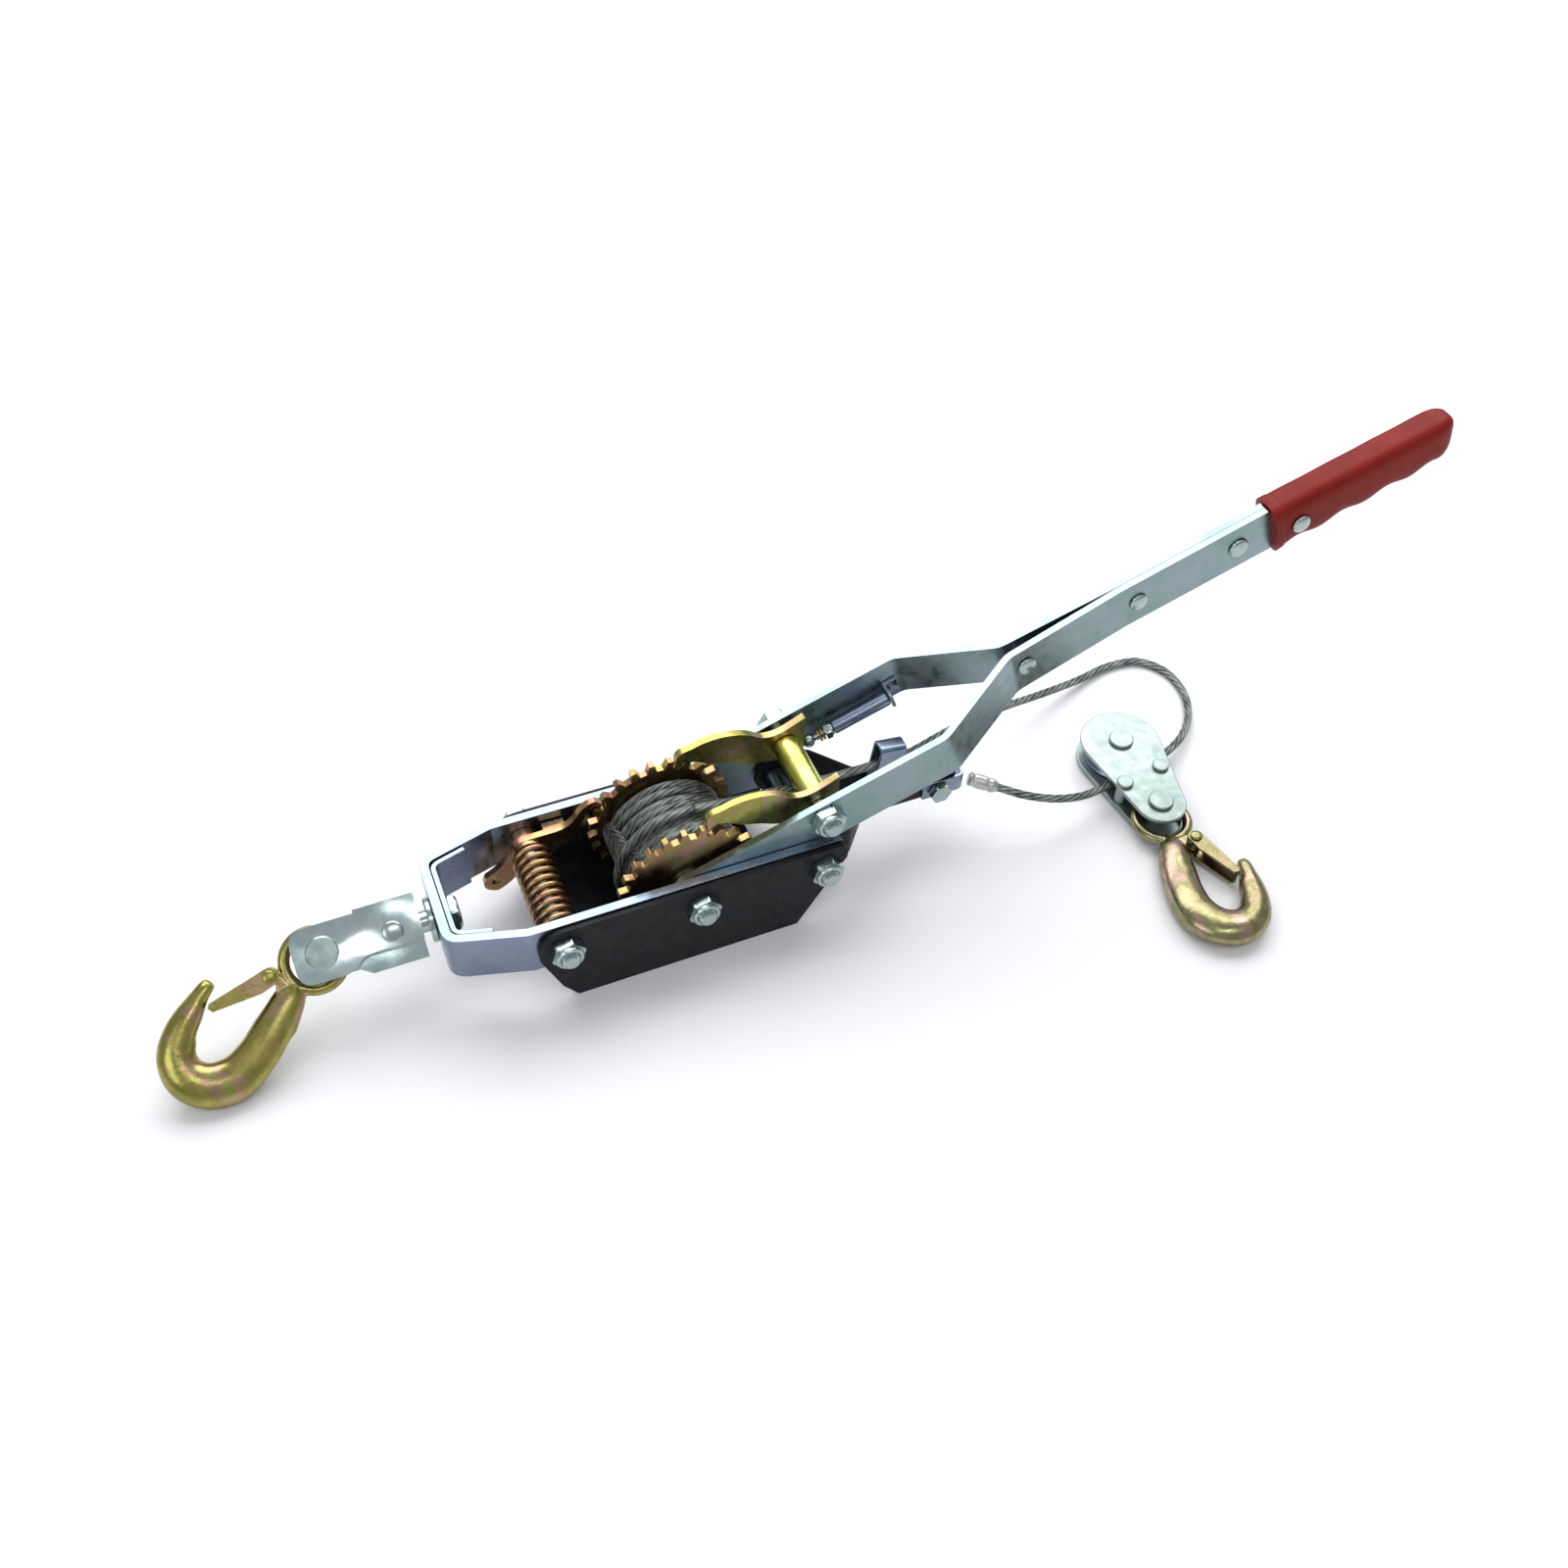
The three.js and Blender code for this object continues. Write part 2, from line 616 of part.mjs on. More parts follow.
function grip() {
  const stations = 26;
  const rings = [];
  for (let i = 0; i <= stations; i++) {
    const t = i / stations;
    const x = GRIP_START + (GRIP_END - GRIP_START) * t;
    const [bottom, top] = gripHeights(x);
    const close = t > 0.9 ? Math.sqrt(Math.max(0.05, 1 - ((t - 0.9) / 0.1) ** 2)) : 1;
    const middle = (top + bottom) / 2 + (1 - close) * 5;
    const high = ((top - bottom) / 2) * (0.45 + 0.55 * close);
    const wide = 10.5 * (0.55 + 0.45 * close);
    const ring = [];
    for (let j = 0; j < 16; j++) {
      const turn = ((j + 0.5) / 16) * Math.PI * 2;
      const c = Math.cos(turn);
      const s = Math.sin(turn);
      const y = wide * Math.sign(c) * Math.abs(c) ** 0.55;
      const z = middle + high * Math.sign(s) * Math.abs(s) ** 0.55;
      ring.push(new THREE.Vector3(x, y, z));
    }
    rings.push(ring);
  }
  const half = ARM_THICK + GAP / 2 + GAP;
  const slot = toSolid(box(GRIP_START - 5, TANG_END + 0.6, -half, half, -TANG_HALF - 0.4, TANG_HALF + 0.4));
  const mouth = toSolid(box(GRIP_START - 5, GRIP_START + 2, -half, half, -ARM_HALF - 3, ARM_HALF + 3));
  const hole = toSolid(rodY(3.3, -60, 60, 394, 0, 16));
  return raise(cut(toSolid(loft(rings)), [slot, mouth, hole]));
}

function addHandleRivets() {
  const joined = ARM_THICK + GAP / 2 + GAP;
  const spots = {
    spread_rivet: [221, 2, ARM_CLOSE_NEAR_Y + 2.2, 5.5],
    middle_rivet: [294, 0, joined, 5.5],
    upper_rivet: [358, 0, joined, 6],
    grip_rivet: [394, 0, 10.8, 5.5],
  };
  Object.entries(spots).forEach(([name, [x, z, face, head]]) => {
    addPart(name, "zinc", raise(rivet(3, head, 2.4, face).translate([x, 0, z])));
  });
}

function pivotBolt() {
  const face = ARM_Y + ARM_THICK / 2 + GAP;
  return bolt(BOLT_R, 9.6, 6.4, -face - 11, face).translate([PIVOT_X, 0, PIVOT_Z]);
}

function pivotNut() {
  const face = ARM_Y + ARM_THICK / 2 + GAP;
  return nut(BORE_R, 9.8, 8, -face).translate([PIVOT_X, 0, PIVOT_Z]);
}

// Housing tube of the pawl spring, held to the far arm by a riveted bracket.
function springTube() {
  const body = toSolid(rodX(4.4, SPRING_START, SPRING_END, 20));
  const bore = toSolid(rodX(2.6, SPRING_START - 2, SPRING_END - 6, 16));
  return raise(body.subtract(bore).translate([0, SPRING_Y, SPRING_OFFSET]));
}

function springBracket() {
  const inner = ARM_Y - ARM_THICK / 2 - GAP;
  const wall = toSolid(box(SPRING_END + GAP, SPRING_END + 2.3, SPRING_Y - 4.4, inner, -11, -1));
  const plate = toSolid(box(SPRING_END + GAP, 156, inner - 2, inner, -11, 1));
  const shank = toSolid(rodY(3, inner - 1, ARM_Y + 4.5, ...BRACKET_RIVET, 16));
  const head = toSolid(rodY(3.6, inner - 4, inner - 1, ...BRACKET_RIVET, 6));
  return raise(join([wall, plate, shank, head]));
}

function springNut() {
  const body = new THREE.CylinderGeometry(5, 5, 5, 6).rotateZ(Math.PI / 2);
  const whole = toSolid(body.translate(SPRING_START - 2.8, 0, 0));
  return raise(whole.subtract(toSolid(rodX(2.6, 90, 130, 16))).translate([0, SPRING_Y, SPRING_OFFSET]));
}

function plungerRod() {
  const ball = toSolid(new THREE.SphereGeometry(4, 12, 8).translate(95.2, 0, 0));
  const rod = toSolid(rodX(2.1, 95, 134, 16));
  return raise(ball.add(rod).translate([0, SPRING_Y, SPRING_OFFSET]));
}

function plungerSpring() {
  const steps = 2 * 12;
  const points = [];
  for (let i = 0; i <= steps; i++) {
    const turn = (i / 12) * Math.PI * 2;
    points.push(new THREE.Vector3(100.6 + (i / steps) * 3.9, 3.5 * Math.cos(turn), 3.5 * Math.sin(turn)));
  }
  const coil = toSolid(tube(points, 0.75, steps, 6));
  return raise(coil.translate([0, SPRING_Y, SPRING_OFFSET]));
}

// ---------- Hooks, drawn flat: u away from the eye (+X), v towards the tip (+Y) ----------

const HOOK_SECTIONS = [
  [21, -1, 5, 3],
  [27, -4, 8, 5.5],
  [35, -7, 9.5, 7],
  [46, -10.5, 11, 8],
  [60, -14, 11.6, 8.5],
  [75, -14, 12.3, 8.5],
  [87, -6.5, 12, 8.5],
  [91, 5, 11, 8.5],
  [86.5, 16, 9.7, 8],
  [76.5, 22.5, 8.7, 7.2],
  [66, 26, 7.2, 6.4],
  [58, 28.4, 5.2, 5.2],
  [52, 29.6, 4.4, 4.4],
  [49.3, 29.9, 3.6, 3.5],
  [48.2, 30, 1.6, 1.5],
];
const LATCH_PIVOT = [27, 10.5];
const LATCH_LEAN = 5;

function hookBody() {
  const path = new THREE.CatmullRomCurve3(HOOK_SECTIONS.map(([u, v]) => new THREE.Vector3(u, v, 0)));
  const sizes = new THREE.CatmullRomCurve3(HOOK_SECTIONS.map(([, , w, t]) => new THREE.Vector3(w, t, 0)));
  const stations = 24;
  const rings = [];
  for (let i = 0; i <= stations; i++) {
    const centre = path.getPoint(i / stations);
    const along = path.getTangent(i / stations);
    const size = sizes.getPoint(i / stations);
    const across = new THREE.Vector3(-along.y, along.x, 0);
    const ring = [];
    for (let j = 0; j < 12; j++) {
      const turn = (j / 12) * Math.PI * 2;
      const point = centre.clone().addScaledVector(across, size.x * Math.cos(turn));
      ring.push(point.setZ(size.y * Math.sin(turn)));
    }
    rings.push(ring);
  }
  const eye = new THREE.TorusGeometry(EYE_R, EYE_TUBE, 8, 22).translate(EYE_SHIFT, 0, 0);
  const lug = new THREE.Shape();
  lug.absarc(...LATCH_PIVOT, 4.6, -Math.PI / 2, Math.PI);
  lug.lineTo(23.5, -2);
  lug.lineTo(40, -6);
  const solid = join([toSolid(loft(rings)), toSolid(eye), toSolid(slabXY(lug, -3.6, 3.6))]);
  return cut(solid, [toSolid(rodZ(2.3, -20, 20, ...LATCH_PIVOT, 16))]);
}

function latch() {
  const face = (inset) => {
    const shape = new THREE.Shape();
    shape.absarc(LATCH_PIVOT[0], LATCH_PIVOT[1] - inset, 4.8, Math.PI * 0.6, Math.PI * 1.5);
    shape.lineTo(LATCH_PIVOT[0] + 8, LATCH_PIVOT[1] - 4 - inset);
    shape.lineTo(58.8, 15.6 - inset);
    shape.lineTo(59.5, 18.8 - inset);
    shape.lineTo(57.5, 20.2 - inset);
    return shape;
  };
  const outer = toSolid(slabXY(face(0), -5.6, 5.6));
  const inner = toSolid(slabXY(face(1.4), -4, 4));
  const lugRoom = toSolid(rodZ(6.4, -4, 4, ...LATCH_PIVOT));
  const backRoom = toSolid(box(18, 27, 0, 22, -4, 4));
  const bore = toSolid(rodZ(2.3, -20, 20, ...LATCH_PIVOT, 16));
  const level = cut(outer, [inner, lugRoom, backRoom, bore]);
  const [u, v] = LATCH_PIVOT;
  return level.translate([-u, -v, 0]).rotate([0, 0, LATCH_LEAN]).translate([u, v, 0]);
}

function latchPin() {
  const pin = rivet(2, 3.6, 1.6, 5.9).rotate([90, 0, 0]);
  return pin.translate([...LATCH_PIVOT, 0]);
}

// The front hook is turned over, swung towards the near side and rolled with the link.
function placeFront(solid) {
  const swung = solid.rotate([180, 0, 0]).rotate([0, 0, 180 + THREE.MathUtils.radToDeg(FRONT_HOOK_SWING)]);
  const onLink = swung.translate([FRONT_RIVET_X, 0, -HOOK_DROP]);
  return onLink.rotate([THREE.MathUtils.radToDeg(LINK_ROLL), 0, 0]);
}

function placeBlock(solid) {
  const turned = solid.rotate([0, 0, -93.6]);
  return turned.translate([...BLOCK_PIN_AT, BLOCK_Z - HOOK_DROP]);
}

// ---------- Swivel and link ----------

function roll(solid) {
  return solid.rotate([THREE.MathUtils.radToDeg(LINK_ROLL), 0, 0]);
}

function swivelStud() {
  const shaft = toSolid(rodX(STUD_R, CROSS_PIN_X, NOSE_X + 13));
  const collar = toSolid(rodX(12.5, NOSE_X - 3.4, NOSE_X - GAP, 28));
  const eye = toSolid(rodZ(9, -4.8, 4.8, CROSS_PIN_X, 0, 28));
  return roll(cut(join([shaft, collar, eye]), [toSolid(rodZ(4.4, -20, 20, CROSS_PIN_X))]));
}

function studNut() {
  const x = NOSE_X + STRAP_THICK + 3 + 2 * GAP + 0.3;
  const body = new THREE.CylinderGeometry(11, 11, 5, 6).rotateZ(Math.PI / 2).translate(x + 2.5, 0, 0);
  return roll(toSolid(body).subtract(toSolid(rodX(STUD_R + 0.3, x - 3, x + 20))));
}

// Folded sheet link: a full upper plate, a lower plate and a web along the far edge.
function swivelLink() {
  const front = FRONT_RIVET_X - 15;
  const back = -144;
  const upper = new THREE.Shape();
  upper.moveTo(back, 15);
  upper.lineTo(front + 9, 15);
  upper.quadraticCurveTo(front, 15, front, 6);
  upper.lineTo(front, -6);
  upper.quadraticCurveTo(front, -15, front + 9, -15);
  upper.lineTo(-190, -15);
  upper.bezierCurveTo(-178, -15, -182, -9, -172, -8);
  upper.lineTo(back, -8);
  const lower = new THREE.Shape();
  lower.moveTo(back, 15);
  lower.lineTo(front + 9, 15);
  lower.quadraticCurveTo(front, 15, front, 6);
  lower.lineTo(front, -6);
  lower.quadraticCurveTo(front, -15, front + 9, -15);
  lower.lineTo(-180, -15);
  lower.lineTo(-174, -19);
  lower.lineTo(back, -19);
  const outer = LINK_GAP + LINK_THICK;
  const web = toSolid(box(-176, back, 14, 17, -outer, outer));
  const plates = [toSolid(slabXY(upper, LINK_GAP, outer)), toSolid(slabXY(lower, -outer, -LINK_GAP))];
  const bores = [
    toSolid(rodZ(RIVET_R + 0.3, -20, 20, FRONT_RIVET_X)),
    toSolid(rodZ(4.4, -20, 20, CROSS_PIN_X)),
  ];
  return roll(cut(join([...plates, web]), bores));
}

function crossPin() {
  const pin = rivet(4, 5.6, 1.8, LINK_GAP + LINK_THICK + GAP).rotate([90, 0, 0]);
  return roll(pin.translate([CROSS_PIN_X, 0, 0]));
}

function hookRivet() {
  const pin = rivet(RIVET_R, 8.6, 2.4, LINK_GAP + LINK_THICK + GAP).rotate([90, 0, 0]);
  return roll(pin.translate([FRONT_RIVET_X, 0, 0]));
}

// ---------- Pulley block ----------

function blockPlateShape() {
  const [bx, by] = SHEAVE_AT;
  const [sx, sy] = BLOCK_PIN_AT;
  const length = Math.hypot(bx - sx, by - sy);
  const lean = Math.atan2(by - sy, bx - sx);
  const open = Math.acos((BLOCK_BIG_R - BLOCK_SMALL_R) / length);
  const shape = new THREE.Shape();
  shape.absarc(bx, by, BLOCK_BIG_R, lean + Math.PI + open, lean + 3 * Math.PI - open);
  shape.absarc(sx, sy, BLOCK_SMALL_R, lean + Math.PI - open, lean + Math.PI + open);
  return shape;
}

function blockPlate(side) {
  const z0 = side > 0 ? BLOCK_Z + BLOCK_GAP : BLOCK_Z - BLOCK_GAP - BLOCK_PLATE;
  const plate = new THREE.ExtrudeGeometry(blockPlateShape(), {
    depth: BLOCK_PLATE,
    bevelEnabled: false,
    curveSegments: 12,
  });
  const bores = [
    toSolid(rodZ(4.4, -90, 20, ...SHEAVE_AT)),
    toSolid(rodZ(RIVET_R + 0.3, -90, 20, ...BLOCK_PIN_AT)),
    ...SPACERS_AT.map((spot) => toSolid(rodZ(2.8, -90, 20, ...spot, 16))),
  ];
  return cut(toSolid(plate.translate(0, 0, z0)), bores);
}

// A headed pin through both block plates: shank, then a flat chamfered head at each end.
function blockPin(shank, head, sleeve) {
  const face = BLOCK_GAP + BLOCK_PLATE + GAP;
  const top = BLOCK_GAP + BLOCK_PLATE + BLOCK_HEAD;
  const inner = BLOCK_GAP - GAP;
  const half = [[sleeve, inner], [shank, inner], [shank, face], [head, face]];
  half.push([head, top - 0.8], [head - 0.8, top]);
  const profile = [[0, -top], ...half.map(([r, y]) => [r, -y]).reverse(), ...half, [0, top]];
  return toSolid(latheY(profile, 16)).rotate([90, 0, 0]);
}

function placed(solid, spot) {
  return solid.translate([...spot, BLOCK_Z]);
}

function sheave() {
  const reach = BLOCK_GAP - GAP;
  const profile = [
    [4.5, -reach],
    [21, -reach],
    [21, -reach + 1.2],
    [16.5, -1.6],
    [16.5, 1.6],
    [21, reach - 1.2],
    [21, reach],
    [4.5, reach],
    [4.5, -reach],
  ];
  const wheel = outward(mergeVertices(bareOf(latheY(profile, 26)), 1e-4));
  return placed(toSolid(wheel).rotate([90, 0, 0]), SHEAVE_AT);
}

// ---------- Cable ----------

// Free cable from the top of the drum, through the guide, round the block and back to the anchor.
const CABLE_ROUTE = [
  [9.5, -8, 36.6],
  [30, -6.3, 31.9],
  [53, -3.4, 26.2],
  [76, -0.6, 20],
  [100, 0, 18.8],
  [127, 0, 19],
  [140, 0.8, 18.4],
  [152, 4.2, 17],
  [168, 11, 13.4],
  [188, 20.5, 6.5],
  [213, 32.5, -4.5],
  [240, 44.5, -17],
  [271, 56, -29.5],
  [305, 66.5, -39],
  [333, 73, -41.7],
  [354, 70, -41.8],
  [366, 55, -41.8],
  [367, 35, -41.7],
  [358, 14.5, -40],
  [341, -3.5, -36.8],
  [318, -15.9, -34],
  [295, -21.7, -33.3],
  [279, -24.6, -32.4],
  [265, -29, -30],
  [248, -32.8, -26],
  [229, -32.6, -20.6],
  [211, -27.5, -15.4],
  [196, -19, -11],
];
const FERRULE_START = [180.9, -9.6, -6.6];

function freeCable() {
  const points = CABLE_ROUTE.map((p) => new THREE.Vector3(...p));
  return toSolid(tube(points, ROPE_R, 74, 8));
}

function ferrule() {
  const start = new THREE.Vector3(...FERRULE_START);
  const cableEnd = new THREE.Vector3(...CABLE_ROUTE[CABLE_ROUTE.length - 1]);
  const along = cableEnd.clone().sub(start).normalize();
  const length = cableEnd.distanceTo(start) - GAP;
  const barrel = latheY([
    [0, 0],
    [3.6, 0],
    [4.4, 0.8],
    [4.4, length - 3],
    [3.2, length],
    [0, length],
  ], 20);
  const turn = new THREE.Quaternion().setFromUnitVectors(new THREE.Vector3(0, 1, 0), along);
  barrel.applyQuaternion(turn).translate(...FERRULE_START);
  return toSolid(barrel);
}

// ---------- Assembly ----------

addPart("frame_strap", "zinc", frameStrap());
addPart("nose_plate", "zinc", nosePlate());
addPart("side_housing", "black", sideHousing());
addFrameBolts();
addPart("rear_spacer", "zinc", rearSpacer());
addPart("tail_bar_near", "black", tailBar(-1));
addPart("tail_bar_far", "black", tailBar(1));
addPart("anchor_bracket", "zinc", anchorBracket());
addPart("tail_bolt", "zinc", tailBolt());
addPart("tail_nut", "zinc", tailNut());
addPart("cable_guide", "zinc", cableGuide());

addPart("ratchet_near", "gold", ratchetWheel(-1));
addPart("ratchet_far", "gold", ratchetWheel(1));
addPart("drum_hub", "zinc", drumHub());
addPart("wound_cable", "rope", woundCable());

addPart("drive_pawl_near", "gold", drivePawlArm(-1));
addPart("drive_pawl_far", "gold", drivePawlArm(1));
addPart("drive_pawl_tube", "yellow", drivePawlTube());
addPart("holding_pawl", "copper", holdingPawl());
addPart("pawl_spring", "copper", pawlSpring());

addPart("handle_arm_near", "zinc", handleArm(-1));
addPart("handle_arm_far", "zinc", handleArm(1));
addPart("grip", "red", grip());
addHandleRivets();
addPart("pivot_bolt", "zinc", pivotBolt());
addPart("pivot_nut", "zinc", pivotNut());
addPart("spring_tube", "zinc", springTube());
addPart("spring_bracket", "zinc", springBracket());
addPart("spring_nut", "zinc", springNut());
addPart("plunger_rod", "zinc", plungerRod());
addPart("plunger_spring", "copper", plungerSpring());

addPart("swivel_stud", "zinc", swivelStud());
addPart("stud_nut", "zinc", studNut());
addPart("swivel_link", "zinc", swivelLink());
addPart("cross_pin", "zinc", crossPin());
addPart("hook_rivet", "zinc", hookRivet());
addPart("front_hook", "gold", placeFront(hookBody()));
addPart("front_latch_pin", "gold", placeFront(latchPin()));
addPart("front_latch", "gold", placeFront(latch()));

addPart("block_plate_upper", "zinc", blockPlate(1));
addPart("block_plate_lower", "zinc", blockPlate(-1));
addPart("sheave_axle", "zinc", placed(blockPin(4, 7.5, 4), SHEAVE_AT));
addPart("block_hook_pin", "zinc", placed(blockPin(RIVET_R, 7.5, RIVET_R), BLOCK_PIN_AT));
SPACERS_AT.forEach((spot, i) => {
  addPart(`block_spacer_${i + 1}`, "zinc", placed(blockPin(2.5, 5, 4.2), spot));
});
addPart("sheave", "zinc", sheave());
addPart("block_hook", "gold", placeBlock(hookBody()));
addPart("block_latch_pin", "gold", placeBlock(latchPin()));
addPart("block_latch", "gold", placeBlock(latch()));

addPart("free_cable", "rope", freeCable());
addPart("cable_ferrule", "ferrule", ferrule());

// Stand the assembly on Z = 0 with its box, free cable aside, centred on the Z axis.
const loose = ["free_cable", "cable_ferrule"];
const bounds = new THREE.Box3();
group.children.filter((mesh) => !loose.includes(mesh.name)).forEach((mesh) => bounds.expandByObject(mesh));
const middle = bounds.getCenter(new THREE.Vector3());
group.children.forEach((mesh) => mesh.geometry.translate(-middle.x, -middle.y, -bounds.min.z));

export default group;
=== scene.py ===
"""A hand-operated cable puller lying on a pale studio floor, finished over its CAD model."""
import json
import math

import bmesh
import bpy
from mathutils import Matrix, Vector


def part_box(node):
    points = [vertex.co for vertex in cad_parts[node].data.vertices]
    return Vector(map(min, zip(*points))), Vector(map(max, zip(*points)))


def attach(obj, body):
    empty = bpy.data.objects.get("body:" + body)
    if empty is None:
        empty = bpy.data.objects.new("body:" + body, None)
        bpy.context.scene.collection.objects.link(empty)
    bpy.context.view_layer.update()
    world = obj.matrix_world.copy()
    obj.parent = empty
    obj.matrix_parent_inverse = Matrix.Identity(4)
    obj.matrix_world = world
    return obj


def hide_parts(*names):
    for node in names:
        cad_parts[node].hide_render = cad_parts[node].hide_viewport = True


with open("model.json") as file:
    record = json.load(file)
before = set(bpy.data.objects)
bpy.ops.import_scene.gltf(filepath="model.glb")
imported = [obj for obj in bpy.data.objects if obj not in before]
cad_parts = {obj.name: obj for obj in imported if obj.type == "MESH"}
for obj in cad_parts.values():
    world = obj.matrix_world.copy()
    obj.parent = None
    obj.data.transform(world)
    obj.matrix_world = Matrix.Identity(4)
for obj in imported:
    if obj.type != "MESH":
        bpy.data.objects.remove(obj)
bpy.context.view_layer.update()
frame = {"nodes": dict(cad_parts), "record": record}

# AXLE and FLOOR_REACH are in metres. Other sizes are millimetres about the axle.
AXLE = sum(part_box("drum_hub"), Vector()) / 2

CAMERA_AT = Vector((-166, -519, 660))
CAMERA_AZIMUTH = math.radians(-24.08)
CAMERA_ELEVATION = math.radians(48.15)
CAMERA_ROLL = math.radians(1.96)
CAMERA_LENS = 34.97

GAP = 0.3
HOUSING_FACE = 44.7
BOLT_R = 5
BOLT_HEAD_R = 9.6
THREAD_LENGTH = 14
BOLT_SPOTS = {"front": (-76.6, 0), "axle": (0, 0), "rear": (72.5, 0)}
PIVOT = (76, 31.4)
PIVOT_FACE = 36
TAIL_BOLT = (160, -6)
TAIL_FACE = 11.4

ROPE_R = 2.5
ROPE_LAY = 40
ROPE_STRANDS = 6
ROPE_SAMPLES = 36
WIRE_REPEAT = 7
DRUM_REACH = 21.3
WOUND_LAYERS = [(27.4, 9), (31.9, 8)]
WOUND_KNOTS = 12
CLIMB_TURNS = 1.25
CLIMB_KNOTS = 14
CORE_R = 26
CORE_BORE = 12.3
CORE_END = 23.9
FERRULE_START = Vector((180.9, -9.6, -6.6))

HANDLE_RISE = math.radians(19.2)
GRIP_START = 379
GRIP_END = 495
GRIP_TOP = 17
GRIP_BOTTOM = -16.5
GRIP_HALF_WIDTH = 10.5
GRIP_LIP = 0.35
SPRING_Y = 25.5
SPRING_Z = -6
ROD_BALL_AT = 95.2
ROD_BALL_R = 4
PAWL_SPRING_R = 9.8
PAWL_SPRING_WIRE = 1.8
PAWL_SPRING_TURNS = 10
PAWL_SPRING_LENGTH = 55.5
PAWL_SPRING_END = -34.2

LINK_ROLL = math.radians(40)
NOSE_X = -136.5
COLLAR_FRONT = -139.9
COLLAR_BACK = -136.8
CROSS_PIN_X = -159
FRONT_RIVET_X = -196
FRONT_SWING = math.radians(210.1)
BLOCK_SWING = math.radians(-93.6)
BLOCK_Z = -33.5
CHEEK_SHEAVE_R = 25
CHEEK_PIN_R = 15.5
CHEEK_INNER = 6
CHEEK_THICKNESS = 2.5
SHEAVE_AT = (294, -2.2)
BLOCK_PIN_AT = (290, -55)
SPACERS_AT = [(277.6, -34.2), (305.2, -30.2)]
HOOK_DROP = 2.5
EYE_R = 15.5
EYE_TUBE = 3.2
EYE_SHIFT = 5.9
LATCH_PIVOT = (27, 10.5)
RECESS_DEPTH = 2.2
SHANK_RECESS = (0.17, 0.42)
POINT_RECESS = (0.74, 0.97)

SIXTH = math.tau / 6
SHARP_ANGLE = math.radians(32)
RATCHET_EDGE = 0.8
PLATE_EDGE = 0.45
FLOOR_REACH = 6

# The free cable's route: off the drum, through the guide, round the block and back to the tail.
CABLE_ROUTE = [
    (9.5, -8, 36.6),
    (30, -6.3, 31.9),
    (53, -3.4, 26.2),
    (76, -0.6, 20),
    (100, 0, 18.8),
    (127, 0, 19),
    (140, 0.8, 18.4),
    (152, 4.2, 17),
    (168, 11, 13.4),
    (188, 20.5, 6.5),
    (213, 32.5, -4.5),
    (240, 44.5, -17),
    (271, 56, -29.5),
    (305, 66.5, -39),
    (333, 73, -41.7),
    (354, 70, -41.8),
    (366, 55, -41.8),
    (367, 35, -41.7),
    (358, 14.5, -40),
    (341, -3.5, -36.8),
    (318, -15.9, -34),
    (295, -21.7, -33.3),
    (279, -24.6, -32.4),
    (265, -29, -30),
    (248, -32.8, -26),
    (229, -32.6, -20.6),
    (211, -27.5, -15.4),
    (196, -19, -11),
]

# A hook lying flat, eye at the origin: distance from the eye, offset, half width, half thickness.
HOOK_SECTIONS = [
    (21, -1, 5, 3),
    (27, -4, 8, 5.5),
    (35, -7, 9.5, 7),
    (46, -10.5, 11, 8),
    (60, -14, 11.6, 8.5),
    (75, -14, 12.3, 8.5),
    (87, -6.5, 12, 8.5),
    (91, 5, 11, 8.5),
    (86.5, 16, 9.7, 8),
    (76.5, 22.5, 8.7, 7.2),
    (66, 26, 7.2, 6.4),
    (58, 28.4, 5.2, 5.2),
    (52, 29.6, 4.4, 4.4),
    (49.3, 29.9, 3.6, 3.5),
    (48.2, 30, 1.6, 1.5),
]

TO_NEAR = Matrix.Rotation(math.pi / 2, 4, "X")
ALONG_X = Matrix.Rotation(math.pi / 2, 4, "Y")
RAISED = Matrix.Rotation(-HANDLE_RISE, 4, "Y")
ROLLED = Matrix.Rotation(LINK_ROLL, 4, "X")


def at(*spot):
    return Matrix.Translation(spot)


# ---------- Materials ----------


